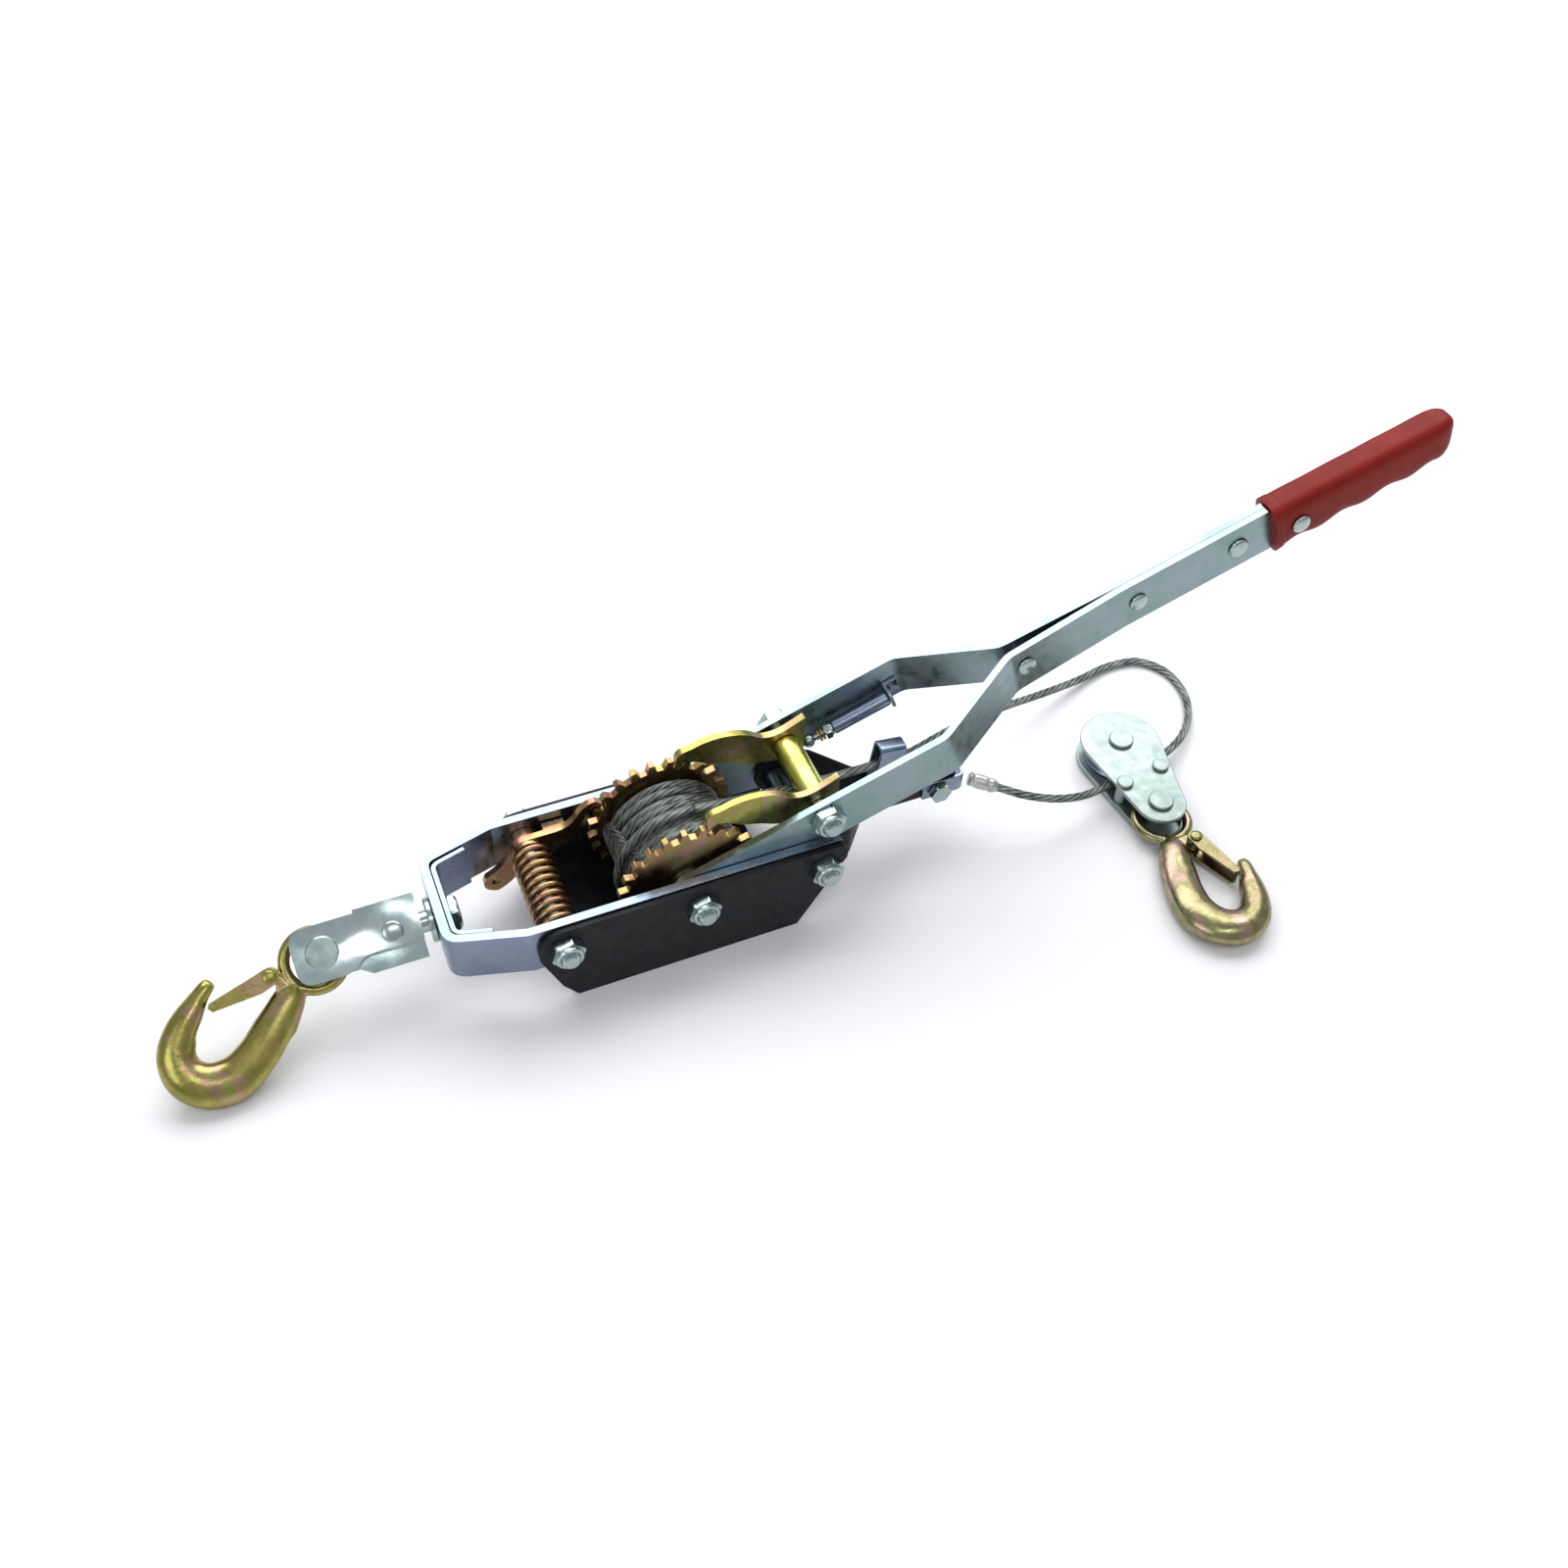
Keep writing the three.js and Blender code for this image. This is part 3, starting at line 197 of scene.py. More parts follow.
class Finish:
    """A material being made: its surface shader, and short calls that add nodes."""

    def __init__(self, name, metallic, roughness):
        self.material = bpy.data.materials.new(name)
        self.material.use_nodes = True
        self.nodes = self.material.node_tree.nodes
        self.links = self.material.node_tree.links
        self.surface = self.nodes["Principled BSDF"]
        self.surface.inputs["Metallic"].default_value = metallic
        self.last_bump = None
        low, high = roughness
        self.link(self.spread(self.noise(160), low, high), "Roughness")

    def link(self, output, socket):
        self.links.new(output, self.surface.inputs[socket])

    def noise(self, per_metre, stretch=(1, 1, 1), detail=4):
        place = self.nodes.new("ShaderNodeTexCoord")
        scaled = self.nodes.new("ShaderNodeMapping")
        scaled.inputs["Scale"].default_value = stretch
        noise = self.nodes.new("ShaderNodeTexNoise")
        noise.inputs["Scale"].default_value = per_metre
        noise.inputs["Detail"].default_value = detail
        self.links.new(place.outputs["Object"], scaled.inputs["Vector"])
        self.links.new(scaled.outputs["Vector"], noise.inputs["Vector"])
        return noise.outputs["Fac"]

    def spread(self, value, low, high):
        spread = self.nodes.new("ShaderNodeMapRange")
        spread.inputs["From Min"].default_value = 0.3
        spread.inputs["From Max"].default_value = 0.7
        spread.inputs["To Min"].default_value = low
        spread.inputs["To Max"].default_value = high
        self.links.new(value, spread.inputs["Value"])
        return spread.outputs["Result"]

    def ramp(self, value, stops):
        ramp = self.nodes.new("ShaderNodeValToRGB")
        elements = ramp.color_ramp.elements
        while len(elements) < len(stops):
            elements.new(0.5)
        for element, (position, colour) in zip(elements, stops):
            element.position = position
            element.color = (*colour, 1)
        self.links.new(value, ramp.inputs["Fac"])
        return ramp.outputs["Color"]

    def bands(self, per_strand):
        """Waves round a rope whose UVs count its strands; 0 on a strand's crest."""
        place = self.nodes.new("ShaderNodeUVMap")
        place.uv_map = "wires"
        wave = self.nodes.new("ShaderNodeTexWave")
        wave.bands_direction = "X"
        wave.inputs["Scale"].default_value = per_strand * math.tau / 20
        self.links.new(place.outputs["UV"], wave.inputs["Vector"])
        return wave.outputs["Fac"]

    def bump(self, height, depth_mm):
        bump = self.nodes.new("ShaderNodeBump")
        bump.inputs["Distance"].default_value = depth_mm / 1000
        bump.inputs["Strength"].default_value = 1.0
        self.links.new(height, bump.inputs["Height"])
        if self.last_bump:
            self.links.new(self.last_bump, bump.inputs["Normal"])
        self.last_bump = bump.outputs["Normal"]
        self.link(self.last_bump, "Normal")


def zinc():
    finish = Finish("zinc", 1.0, (0.2, 0.36))
    stops = [
        (0.30, (0.20, 0.25, 0.33)),
        (0.45, (0.24, 0.29, 0.36)),
        (0.58, (0.24, 0.28, 0.39)),
        (0.72, (0.28, 0.34, 0.40)),
    ]
    finish.link(finish.ramp(finish.noise(30, detail=3), stops), "Base Color")
    finish.bump(finish.noise(900), 0.03)
    finish.bump(finish.noise(700, (0.08, 1, 1)), 0.03)
    return finish.material


def block_zinc():
    """Greenish plating with soft reflections, on the parts that face the large light."""
    finish = Finish("block_zinc", 1.0, (0.36, 0.5))
    stops = [
        (0.3, (0.25, 0.31, 0.29)),
        (0.5, (0.30, 0.36, 0.34)),
        (0.7, (0.33, 0.38, 0.37)),
    ]
    finish.link(finish.ramp(finish.noise(36, detail=3), stops), "Base Color")
    finish.bump(finish.noise(1100), 0.03)
    return finish.material


def painted_bright_rolled_zinc():
    """Zinc painted brighter than the plain zinc, a painted highlight for the tilted link; its sheet
    faces are slightly wavy, so its reflections vary.
    """
    finish = Finish("painted_bright_rolled_zinc", 1.0, (0.14, 0.26))
    stops = [
        (0.3, (0.42, 0.54, 0.54)),
        (0.5, (0.52, 0.63, 0.62)),
        (0.7, (0.58, 0.66, 0.67)),
    ]
    finish.link(finish.ramp(finish.noise(36, detail=3), stops), "Base Color")
    finish.bump(finish.noise(26, detail=1), 6)
    finish.bump(finish.noise(1100), 0.02)
    return finish.material


def teal_zinc():
    finish = Finish("teal_zinc", 1.0, (0.22, 0.38))
    stops = [
        (0.3, (0.20, 0.29, 0.30)),
        (0.5, (0.25, 0.33, 0.34)),
        (0.7, (0.28, 0.35, 0.38)),
    ]
    finish.link(finish.ramp(finish.noise(32, detail=3), stops), "Base Color")
    finish.bump(finish.noise(900), 0.03)
    finish.bump(finish.noise(700, (0.08, 1, 1)), 0.03)
    return finish.material


def bright_zinc():
    finish = Finish("bright_zinc", 1.0, (0.18, 0.32))
    stops = [
        (0.3, (0.34, 0.42, 0.42)),
        (0.5, (0.40, 0.49, 0.47)),
        (0.7, (0.42, 0.49, 0.50)),
    ]
    finish.link(finish.ramp(finish.noise(36, detail=3), stops), "Base Color")
    finish.bump(finish.noise(1100), 0.02)
    return finish.material


def black_paint():
    finish = Finish("black_paint", 0.0, (0.42, 0.58))
    finish.surface.inputs["Specular IOR Level"].default_value = 0.18
    stops = [(0.35, (0.008, 0.008, 0.010)), (0.7, (0.016, 0.016, 0.019))]
    finish.link(finish.ramp(finish.noise(120, detail=6), stops), "Base Color")
    finish.bump(finish.noise(1600), 0.06)
    finish.bump(finish.noise(300), 0.08)
    return finish.material


def passivated(name, stops, roughness):
    """Yellow zinc plating, whose colour drifts between several tints."""
    finish = Finish(name, 1.0, roughness)
    finish.link(finish.ramp(finish.noise(52, detail=5), stops), "Base Color")
    finish.bump(finish.noise(420), 0.1)
    finish.bump(finish.noise(1500), 0.04)
    return finish.material


def gold():
    stops = [
        (0.30, (0.24, 0.24, 0.06)),
        (0.42, (0.38, 0.32, 0.10)),
        (0.50, (0.29, 0.28, 0.07)),
        (0.58, (0.42, 0.27, 0.17)),
        (0.68, (0.34, 0.34, 0.10)),
    ]
    return passivated("gold", stops, (0.22, 0.36))


def warm_gold():
    stops = [
        (0.30, (0.30, 0.22, 0.08)),
        (0.42, (0.40, 0.29, 0.11)),
        (0.50, (0.38, 0.20, 0.13)),
        (0.58, (0.33, 0.27, 0.08)),
        (0.68, (0.44, 0.24, 0.17)),
    ]
    return passivated("warm_gold", stops, (0.24, 0.38))


def pale_gold():
    stops = [
        (0.30, (0.17, 0.20, 0.09)),
        (0.42, (0.36, 0.29, 0.17)),
        (0.50, (0.22, 0.23, 0.10)),
        (0.58, (0.42, 0.27, 0.22)),
        (0.68, (0.34, 0.31, 0.19)),
    ]
    return passivated("pale_gold", stops, (0.2, 0.34))


def copper():
    stops = [
        (0.32, (0.34, 0.17, 0.11)),
        (0.46, (0.42, 0.28, 0.12)),
        (0.56, (0.38, 0.18, 0.13)),
        (0.68, (0.40, 0.33, 0.13)),
    ]
    return passivated("copper", stops, (0.22, 0.36))


def yellow():
    stops = [
        (0.32, (0.62, 0.62, 0.12)),
        (0.50, (0.74, 0.76, 0.22)),
        (0.66, (0.58, 0.66, 0.16)),
    ]
    return passivated("yellow", stops, (0.25, 0.4))


def wire_rope():
    """Six-strand rope with painted shade between the strands, and fine wires along each strand."""
    finish = Finish("wire_rope", 1.0, (0.32, 0.5))
    # Painted shade: the colour darkens between the strands, mixed with random tone from noise.
    painted_gap_shade = finish.nodes.new("ShaderNodeMath")
    painted_gap_shade.operation = "MULTIPLY_ADD"
    painted_gap_shade.inputs[1].default_value = -0.34
    finish.links.new(finish.bands(1), painted_gap_shade.inputs[0])
    finish.links.new(finish.noise(140, detail=6), painted_gap_shade.inputs[2])
    stops = [
        (0.05, (0.05, 0.06, 0.055)),
        (0.3, (0.20, 0.22, 0.21)),
        (0.5, (0.32, 0.35, 0.32)),
        (0.7, (0.40, 0.43, 0.40)),
    ]
    finish.link(finish.ramp(painted_gap_shade.outputs["Value"], stops), "Base Color")
    finish.bump(finish.bands(5), 0.2)
    return finish.material


def aluminium():
    finish = Finish("aluminium", 1.0, (0.35, 0.5))
    stops = [(0.3, (0.46, 0.46, 0.44)), (0.7, (0.60, 0.59, 0.56))]
    finish.link(finish.ramp(finish.noise(200, detail=6), stops), "Base Color")
    finish.bump(finish.noise(900), 0.08)
    return finish.material


def red_plastic():
    finish = Finish("red_plastic", 0.0, (0.34, 0.48))
    finish.surface.inputs["Specular IOR Level"].default_value = 0.12
    stops = [(0.3, (0.17, 0.010, 0.007)), (0.7, (0.23, 0.015, 0.009))]
    finish.link(finish.ramp(finish.noise(60, detail=6), stops), "Base Color")
    finish.bump(finish.noise(1800), 0.05)
    finish.bump(finish.noise(140), 0.15)
    return finish.material


def floor_white():
    finish = Finish("floor_white", 0.0, (0.55, 0.65))
    stops = [(0.3, (0.80, 0.80, 0.81)), (0.7, (0.82, 0.82, 0.83))]
    finish.link(finish.ramp(finish.noise(6), stops), "Base Color")
    return finish.material


FINISHES = {
    "zinc": zinc(),
    "black": black_paint(),
    "gold": gold(),
    "yellow": yellow(),
    "copper": copper(),
    "rope": wire_rope(),
    "red": red_plastic(),
    "ferrule": aluminium(),
}
BRIGHT_ZINC = bright_zinc()
TEAL_ZINC = teal_zinc()
BLOCK_ZINC = block_zinc()
PALE_GOLD = pale_gold()
WARM_GOLD = warm_gold()
NODE_FINISHES = {
    # The link's plating is painted brighter, a painted highlight.
    "swivel_link": painted_bright_rolled_zinc(),
    "handle_arm_near": TEAL_ZINC,
    "handle_arm_far": TEAL_ZINC,
    "ratchet_near": WARM_GOLD,
    "ratchet_far": WARM_GOLD,
    "block_latch": PALE_GOLD,
}


# ---------- Shapes: a shape is its points and its faces ----------


def lathe(profile, sides=64, radius_at=None):
    """A shape turned about Z from (radius, height) points; one off the axis closes on itself.

    radius_at(radius, turn) may change a ring's radius round the turn, as on a hexagon.
    """
    points = []
    faces = []
    rows = []
    for radius, height in profile:
        if radius == 0:
            rows.append([len(points)] * sides)
            points.append(Vector((0, 0, height)))
            continue
        rows.append(range(len(points), len(points) + sides))
        for j in range(sides):
            turn = math.tau * j / sides
            reach = radius_at(radius, turn) if radius_at else radius
            points.append(Vector((reach * math.cos(turn), reach * math.sin(turn), height)))
    ends = rows[1:] + rows[:1] if profile[0][0] else rows[1:]
    for a, b in zip(rows, ends):
        for j in range(sides):
            k = (j + 1) % sides
            faces.append(list(dict.fromkeys((a[j], a[k], b[k], b[j]))))
    return points, faces


def directions(path):
    """Across and up directions at each point of a path, without twist."""
    result = []
    up = None
    for i in range(len(path)):
        along = (path[min(i + 1, len(path) - 1)] - path[max(i - 1, 0)]).normalized()
        up = along.orthogonal() if up is None else up - along * up.dot(along)
        up = up.normalized()
        result.append((along.cross(up), up))
    return result


def loft(rings):
    """A closed skin through equal rings of points."""
    count = len(rings[0])
    points = [point for ring in rings for point in ring]
    faces = [list(range(count)), list(range(len(points) - count, len(points)))]
    for i in range(len(rings) - 1):
        for j in range(count):
            a = i * count + j
            b = i * count + (j + 1) % count
            faces.append([a, b, b + count, a + count])
    return points, faces


def prism(outline, low, high):
    """A flat outline in X-Y with thickness in Z."""
    return loft([[Vector((x, y, z)) for x, y in outline] for z in (low, high)])


def torus(radius, tube):
    around = 24
    ring = [
        (radius + tube * math.cos(math.tau * i / around), tube * math.sin(math.tau * i / around))
        for i in range(around)
    ]
    return lathe(ring, 72)


def joined(*shapes):
    points = []
    faces = []
    for new_points, new_faces in shapes:
        faces += [[i + len(points) for i in face] for face in new_faces]
        points += new_points
    return points, faces


def moved(shape, matrix):
    points, faces = shape
    return [matrix @ point for point in points], faces


def arc(centre, radius, start, end, steps=32):
    turns = [math.radians(start + (end - start) * i / steps) for i in range(steps + 1)]
    return [(centre[0] + radius * math.cos(t), centre[1] + radius * math.sin(t)) for t in turns]


def smooth_path(points, spacing):
    """A centripetal Catmull-Rom curve through points, sampled about every spacing."""
    knots = [Vector(p) for p in points]
    knots = [2 * knots[0] - knots[1], *knots, 2 * knots[-1] - knots[-2]]
    path = []
    for p0, p1, p2, p3 in zip(knots, knots[1:], knots[2:], knots[3:]):
        t1 = (p1 - p0).length ** 0.5
        t2 = t1 + (p2 - p1).length ** 0.5
        t3 = t2 + (p3 - p2).length ** 0.5
        steps = max(1, round((p2 - p1).length / spacing))
        for i in range(steps):
            t = t1 + (t2 - t1) * i / steps
            a1 = p0.lerp(p1, t / t1)
            a2 = p1.lerp(p2, (t - t1) / (t2 - t1))
            a3 = p2.lerp(p3, (t - t2) / (t3 - t2))
            b1 = a1.lerp(a2, t / t2)
            b2 = a2.lerp(a3, (t - t1) / (t3 - t1))
            path.append(b1.lerp(b2, (t - t1) / (t2 - t1)))
    return path + [knots[-2]]


# ---------- Pieces ----------


def soften(piece):
    """Smooth shading that keeps the sharp edges."""
    piece.data.shade_smooth()
    piece.data.set_sharp_from_angle(angle=SHARP_ANGLE)


def add_piece(name, shape, body, slot, replaced=(), finish=None):
    points, faces = shape
    mesh = bpy.data.meshes.new(name)
    mesh.from_pydata([AXLE + point / 1000 for point in points], [], faces)
    tidy = bmesh.new()
    tidy.from_mesh(mesh)
    bmesh.ops.recalc_face_normals(tidy, faces=tidy.faces)
    tidy.to_mesh(mesh)
    tidy.free()
    piece = bpy.data.objects.new(name, mesh)
    bpy.context.scene.collection.objects.link(piece)
    soften(piece)
    mesh.materials.append(finish or FINISHES[slot])
    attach(piece, body)
    if replaced:
        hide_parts(*replaced)
    return piece


def bevel(piece, width_mm, angle=38):
    edge = piece.modifiers.new("edges", "BEVEL")
    edge.width = width_mm / 1000
    edge.segments = 3
    edge.limit_method = "ANGLE"
    edge.angle_limit = math.radians(angle)
    even = piece.modifiers.new("even", "WEIGHTED_NORMAL")
    even.keep_sharp = True


# ---------- Wire rope ----------


def off_sixth(turn):
    """The angle from the nearest sixth of a turn."""
    return (turn + SIXTH / 2) % SIXTH - SIXTH / 2


def strand_reach(turn):
    """Middle to surface of a six-strand rope of radius 1, its strands pressed half flat.

    A strand has a third of the rope's radius, so its middle is two thirds out.
    """
    middle = 2 / 3
    off = off_sixth(turn)
    inner = max(0.0, 1 / 9 - (middle * math.sin(off)) ** 2)
    return 0.5 + 0.5 * (middle * math.cos(off) + math.sqrt(inner))


def rope_shape(path):
    rings = []
    travelled = 0
    last = path[0]
    for middle, (across, up) in zip(path, directions(path)):
        travelled += (middle - last).length
        last = middle
        ring = []
        for j in range(ROPE_SAMPLES):
            strand = math.tau * j / ROPE_SAMPLES
            turn = strand + math.tau * travelled / ROPE_LAY
            reach = ROPE_R * strand_reach(strand)
            ring.append(middle + (across * math.cos(turn) + up * math.sin(turn)) * reach)
        rings.append(ring)
    return loft(rings)


def paint_wires(piece, path):
    """UVs along the strands: U counts strands round the rope, V counts lengths of WIRE_REPEAT."""
    uv = piece.data.uv_layers.new(name="wires")
    lengths = [0]
    for a, b in zip(path, path[1:]):
        lengths.append(lengths[-1] + (b - a).length)
    for face in piece.data.polygons:
        spots = [piece.data.loops[i].vertex_index for i in face.loop_indices]
        places = [spot % ROPE_SAMPLES for spot in spots]
        wraps = len(spots) == 4 and 0 in places and ROPE_SAMPLES - 1 in places
        for loop, spot, j in zip(face.loop_indices, spots, places):
            j = ROPE_SAMPLES if wraps and j == 0 else j
            along = lengths[spot // ROPE_SAMPLES] / WIRE_REPEAT
            uv.data[loop].uv = (j / ROPE_SAMPLES * ROPE_STRANDS, along)


def free_cable():
    path = smooth_path(CABLE_ROUTE, 1.2)
    piece = add_piece("steel_cable", rope_shape(path), "frame", "rope", ["free_cable"])
    paint_wires(piece, path)
    sleeve = ferrule()


def ferrule():
    end = Vector(CABLE_ROUTE[-1])
    along = end - FERRULE_START
    length = along.length - GAP
    profile = [(0, 0), (3.4, 0), (4.1, 0.6)]
    steps = 24
    for i in range(steps + 1):
        t = i / steps
        pressed = 0.45 * max(0, math.sin(3 * math.pi * t)) ** 2
        profile.append((4.4 - pressed, 1 + (length - 4.4) * t))
    profile += [(4.0, length - 2.2), (3.1, length), (0, length)]
    turn = along.to_track_quat("Z", "Y").to_matrix().to_4x4()
    shape = moved(lathe(profile, 48), at(*FERRULE_START) @ turn)
    return add_piece("pressed_ferrule", shape, "frame", "ferrule", ["cable_ferrule"])


def winding_path():
    """Two full layers across the drum and a last turn that climbs to the free cable."""
    knots = []
    turns = 0
    side = -1
    for radius, count in WOUND_LAYERS:
        for i in range(count * WOUND_KNOTS + 1):
            t = i / (count * WOUND_KNOTS)
            y = side * DRUM_REACH * (2 * t - 1)
            y += 1.1 * math.sin(5.3 * t * math.pi + radius) * math.sin(math.pi * t)
            knots.append((radius, turns + i / WOUND_KNOTS, y))
        turns += count
        side = -side
    outer = WOUND_LAYERS[-1][0]
    for i in range(1, CLIMB_KNOTS + 1):
        t = i / CLIMB_KNOTS
        knots.append((outer + 5.9 * t ** 0.8, turns + CLIMB_TURNS * t, -DRUM_REACH + 13.3 * t))
    whole = knots[-1][1]
    leave = math.atan2(CABLE_ROUTE[0][2], CABLE_ROUTE[0][0])
    points = []
    for radius, turn, y in knots:
        angle = leave + (whole - turn) * math.tau + GAP / radius * 2
        points.append((radius * math.cos(angle), y, radius * math.sin(angle)))
    return smooth_path(points, 2)


def wound_cable():
    path = winding_path()
    profile = [(CORE_BORE, -CORE_END), (CORE_R, -CORE_END), (CORE_R, CORE_END), (CORE_BORE, CORE_END)]
    piece = add_piece("cable_winding", rope_shape(path), "drum", "rope", ["wound_cable"])
    paint_wires(piece, path)
    add_piece("winding_core", moved(lathe(profile), TO_NEAR), "drum", "rope")


# ---------- Fasteners ----------


def hexagon(turn, corner):
    """How far a hexagon with a corner at turn 0 reaches at this turn."""
    return corner * math.cos(SIXTH / 2) / math.cos(SIXTH / 2 - abs(off_sixth(turn)))


def hex_profile(corner, height):
    """Rings of a chamfered hexagon from height 0 up; each radius is the largest that is left."""
    low = corner * 0.95
    return [(low, 0), (corner, 0.4), (corner, height - 0.6), (low, height)]


def hex_shape(profile, corner):
    return lathe(profile, 96, lambda radius, turn: min(radius, hexagon(turn, corner)))


def lock_nut(corner, height, bore):
    """A hexagon with a rounded collar on top, open in the middle."""
    flat = corner * 0.866
    body = height * 0.68
    rings = hex_profile(corner, body)
    collar = [
        (flat * 0.93, body),
        (flat * 0.93, height - 1),
        (flat * 0.87, height - 0.3),
        (flat * 0.76, height),
        (bore + 0.3, height - 0.2),
        (bore, height - 0.8),
        (bore, 0),
    ]
    return hex_shape(rings + collar, corner)


def threads(radius, low, high):
    pitch = 1.2
    rings = []
    for i in range(int((high - low) / pitch)):
        z = low + i * pitch
        rings += [(radius, z), (radius, z + pitch * 0.25), (radius - 0.5, z + pitch * 0.6)]
    return rings


def bolt_shape(radius, corner, head, length):
    """A bolt along Z with its end at length and its head below 0."""
    shaft = [(0, -head), (corner * 0.95, -head), (corner, -head + 0.6), (corner, -0.4)]
    shaft += [(corner * 0.95, 0), (radius, 0), (radius, length - THREAD_LENGTH)]
    shaft += threads(radius, length - THREAD_LENGTH + 0.4, length - 1)
    shaft += [(radius, length - 0.9), (radius - 0.9, length), (0, length)]
    return hex_shape(shaft, corner)


def add_bolt(name, spot, face, body, radius=BOLT_R, corner=BOLT_HEAD_R, side=1):
    """A bolt and its lock nut across the frame; side 1 has the head on the far side."""
    x, z = spot
    head = corner * 0.67
    height = radius * 1.6
    turn = TO_NEAR if side > 0 else TO_NEAR @ Matrix.Rotation(math.pi, 4, "X")
    far = at(x, side * (face + GAP), z) @ turn
    near = at(x, -side * (face + GAP), z) @ turn @ Matrix.Rotation(math.radians(13), 4, "Z")
    length = 2 * (face + GAP) + height + 2.6
    bolt = bolt_shape(radius, corner, head, length)
    add_piece(f"{name}_hex_bolt", moved(bolt, far), body, "zinc", [f"{name}_bolt"], BRIGHT_ZINC)
    nut = lock_nut(corner * 1.02, height, radius + 0.25)
    add_piece(f"{name}_lock_nut", moved(nut, near), body, "zinc", [f"{name}_nut"], BRIGHT_ZINC)


def bolts():
    for name, spot in BOLT_SPOTS.items():
        add_bolt(name, spot, HOUSING_FACE, "frame")
    add_bolt("pivot", PIVOT, PIVOT_FACE, "handle")
    add_bolt("tail", TAIL_BOLT, TAIL_FACE, "frame", 4, 6.7, -1)


def rivet_shape(radius, head, height, face, dome=True):
    """A rivet along Z with a head beyond face at both ends."""
    crown = [(head, face + height - 0.7), (head - 0.6, face + height)]
    if dome:
        turns = [i / 8 * math.pi / 2 for i in range(8)]
        crown = [(head * math.cos(t), face + 0.5 + (height - 0.5) * math.sin(t)) for t in turns]
    crown.append((0, face + height))
    half = [(radius, face), (head, face), (head, face + 0.5), *crown]
    mirrored = [(r, -z) for r, z in reversed(half)]
    return lathe(mirrored + half, 48)


def handle_rivets():
    spots = {
        "spread_rivet": (221, 2, 8.2, 5.5),
        "middle_rivet": (294, 0, 4.5, 5.5),
        "upper_rivet": (358, 0, 4.5, 6),
        "grip_rivet": (394, 0, 10.8, 5.5),
    }
    for name, (x, z, face, head) in spots.items():
        shape = moved(rivet_shape(3, head, 2.4, face), RAISED @ at(x, 0, z) @ TO_NEAR)
        add_piece(f"{name}_head", shape, "handle", "zinc", [name], BRIGHT_ZINC)


# ---------- Pawls and springs ----------


def coil_shape(radius, wire, turns, length):
    """A round wire wound about Z, from height 0 up."""
    per_turn = 40
    around = 14
    steps = turns * per_turn
    path = []
    for i in range(steps + 1):
        turn = i / per_turn * math.tau
        path.append(Vector((radius * math.cos(turn), radius * math.sin(turn), length * i / steps)))
    rings = []
    for middle, (across, up) in zip(path, directions(path)):
        turns_round = [math.tau * j / around for j in range(around)]
        rings.append([middle + (across * math.cos(t) + up * math.sin(t)) * wire for t in turns_round])
    return loft(rings)


def pawl_spring():
    coil = coil_shape(PAWL_SPRING_R, PAWL_SPRING_WIRE, PAWL_SPRING_TURNS, PAWL_SPRING_LENGTH)
    spot = at(BOLT_SPOTS["front"][0], PAWL_SPRING_END, 0) @ TO_NEAR.inverted()
    add_piece("torsion_spring", moved(coil, spot), "frame", "copper", ["pawl_spring"])


def spacer_tube():
    profile = [(5.4, -21.4), (7.5, -21.4), (8, -20.9), (8, 20.9), (7.5, 21.4), (5.4, 21.4)]
    shape = moved(lathe(profile), at(PIVOT[0], 0, PIVOT[1]) @ TO_NEAR)
    add_piece("yellow_spacer_tube", shape, "drive_pawl", "yellow", ["drive_pawl_tube"])


def spring_rod():
    """Tube, nut, ball-ended rod and small coil along the far arm."""
    axis = RAISED @ at(0, SPRING_Y, SPRING_Z) @ ALONG_X
    tube = [(2.6, 111), (4.1, 111), (4.4, 111.4), (4.4, 146)]
    tube += [(3.6, 147), (0, 147), (0, 141), (2.6, 141)]
    add_piece("rod_tube", moved(lathe(tube), axis), "spring_housing", "zinc", ["spring_tube"])
    nut = moved(lock_nut(5, 5, 2.6), at(0, 0, 105.7))
    add_piece("rod_nut", moved(nut, axis), "spring_housing", "zinc", ["spring_nut"], BRIGHT_ZINC)
    rod = [(0, ROD_BALL_AT - ROD_BALL_R)]
    for i in range(1, 21):
        turn = math.pi * i / 24
        rod.append((ROD_BALL_R * math.sin(turn), ROD_BALL_AT - ROD_BALL_R * math.cos(turn)))
    rod += [(2.1, 98.9), (2.1, 133.5), (1.6, 134), (0, 134)]
    add_piece("ball_rod", moved(lathe(rod, 40), axis), "plunger", "zinc", ["plunger_rod"], BRIGHT_ZINC)
    coil = moved(coil_shape(3.5, 0.75, 2, 3.9), at(0, 0, 100.6))
    add_piece("rod_coil", moved(coil, axis), "spring_housing", "copper", ["plunger_spring"])


# ---------- Grip ----------


def grip_ring(t):
    """One ring of the grip at t from its mouth (0) to its end (1)."""
    wave = max(0.0, math.sin(math.pi * (4 * t + 0.02)) ** 2)
    bottom = GRIP_BOTTOM + 3 * wave + 1.5 * t
    top = GRIP_TOP - 2.5 * t
    close = math.sqrt(max(0.05, 1 - ((t - 0.9) / 0.1) ** 2)) if t > 0.9 else 1
    lip = GRIP_LIP if t < 0.045 else 0
    middle = (top + bottom) / 2 + (1 - close) * 5
    high = (top - bottom) / 2 * (0.45 + 0.55 * close) - GRIP_LIP + lip
    wide = GRIP_HALF_WIDTH * (0.55 + 0.45 * close) - GRIP_LIP + lip
    ring = []
    for j in range(64):
        turn = math.tau * (j + 0.5) / 64
        c = math.cos(turn)
        s = math.sin(turn)
        y = wide * math.copysign(abs(c) ** 0.5, c)
        z = middle + high * math.copysign(abs(s) ** 0.5, s)
        slope = 6 * max(0, t - 0.75) * (1 - z / GRIP_TOP)
        x = GRIP_START + (GRIP_END - GRIP_START) * t - slope
        ring.append(Vector((x, y, z)))
    return ring


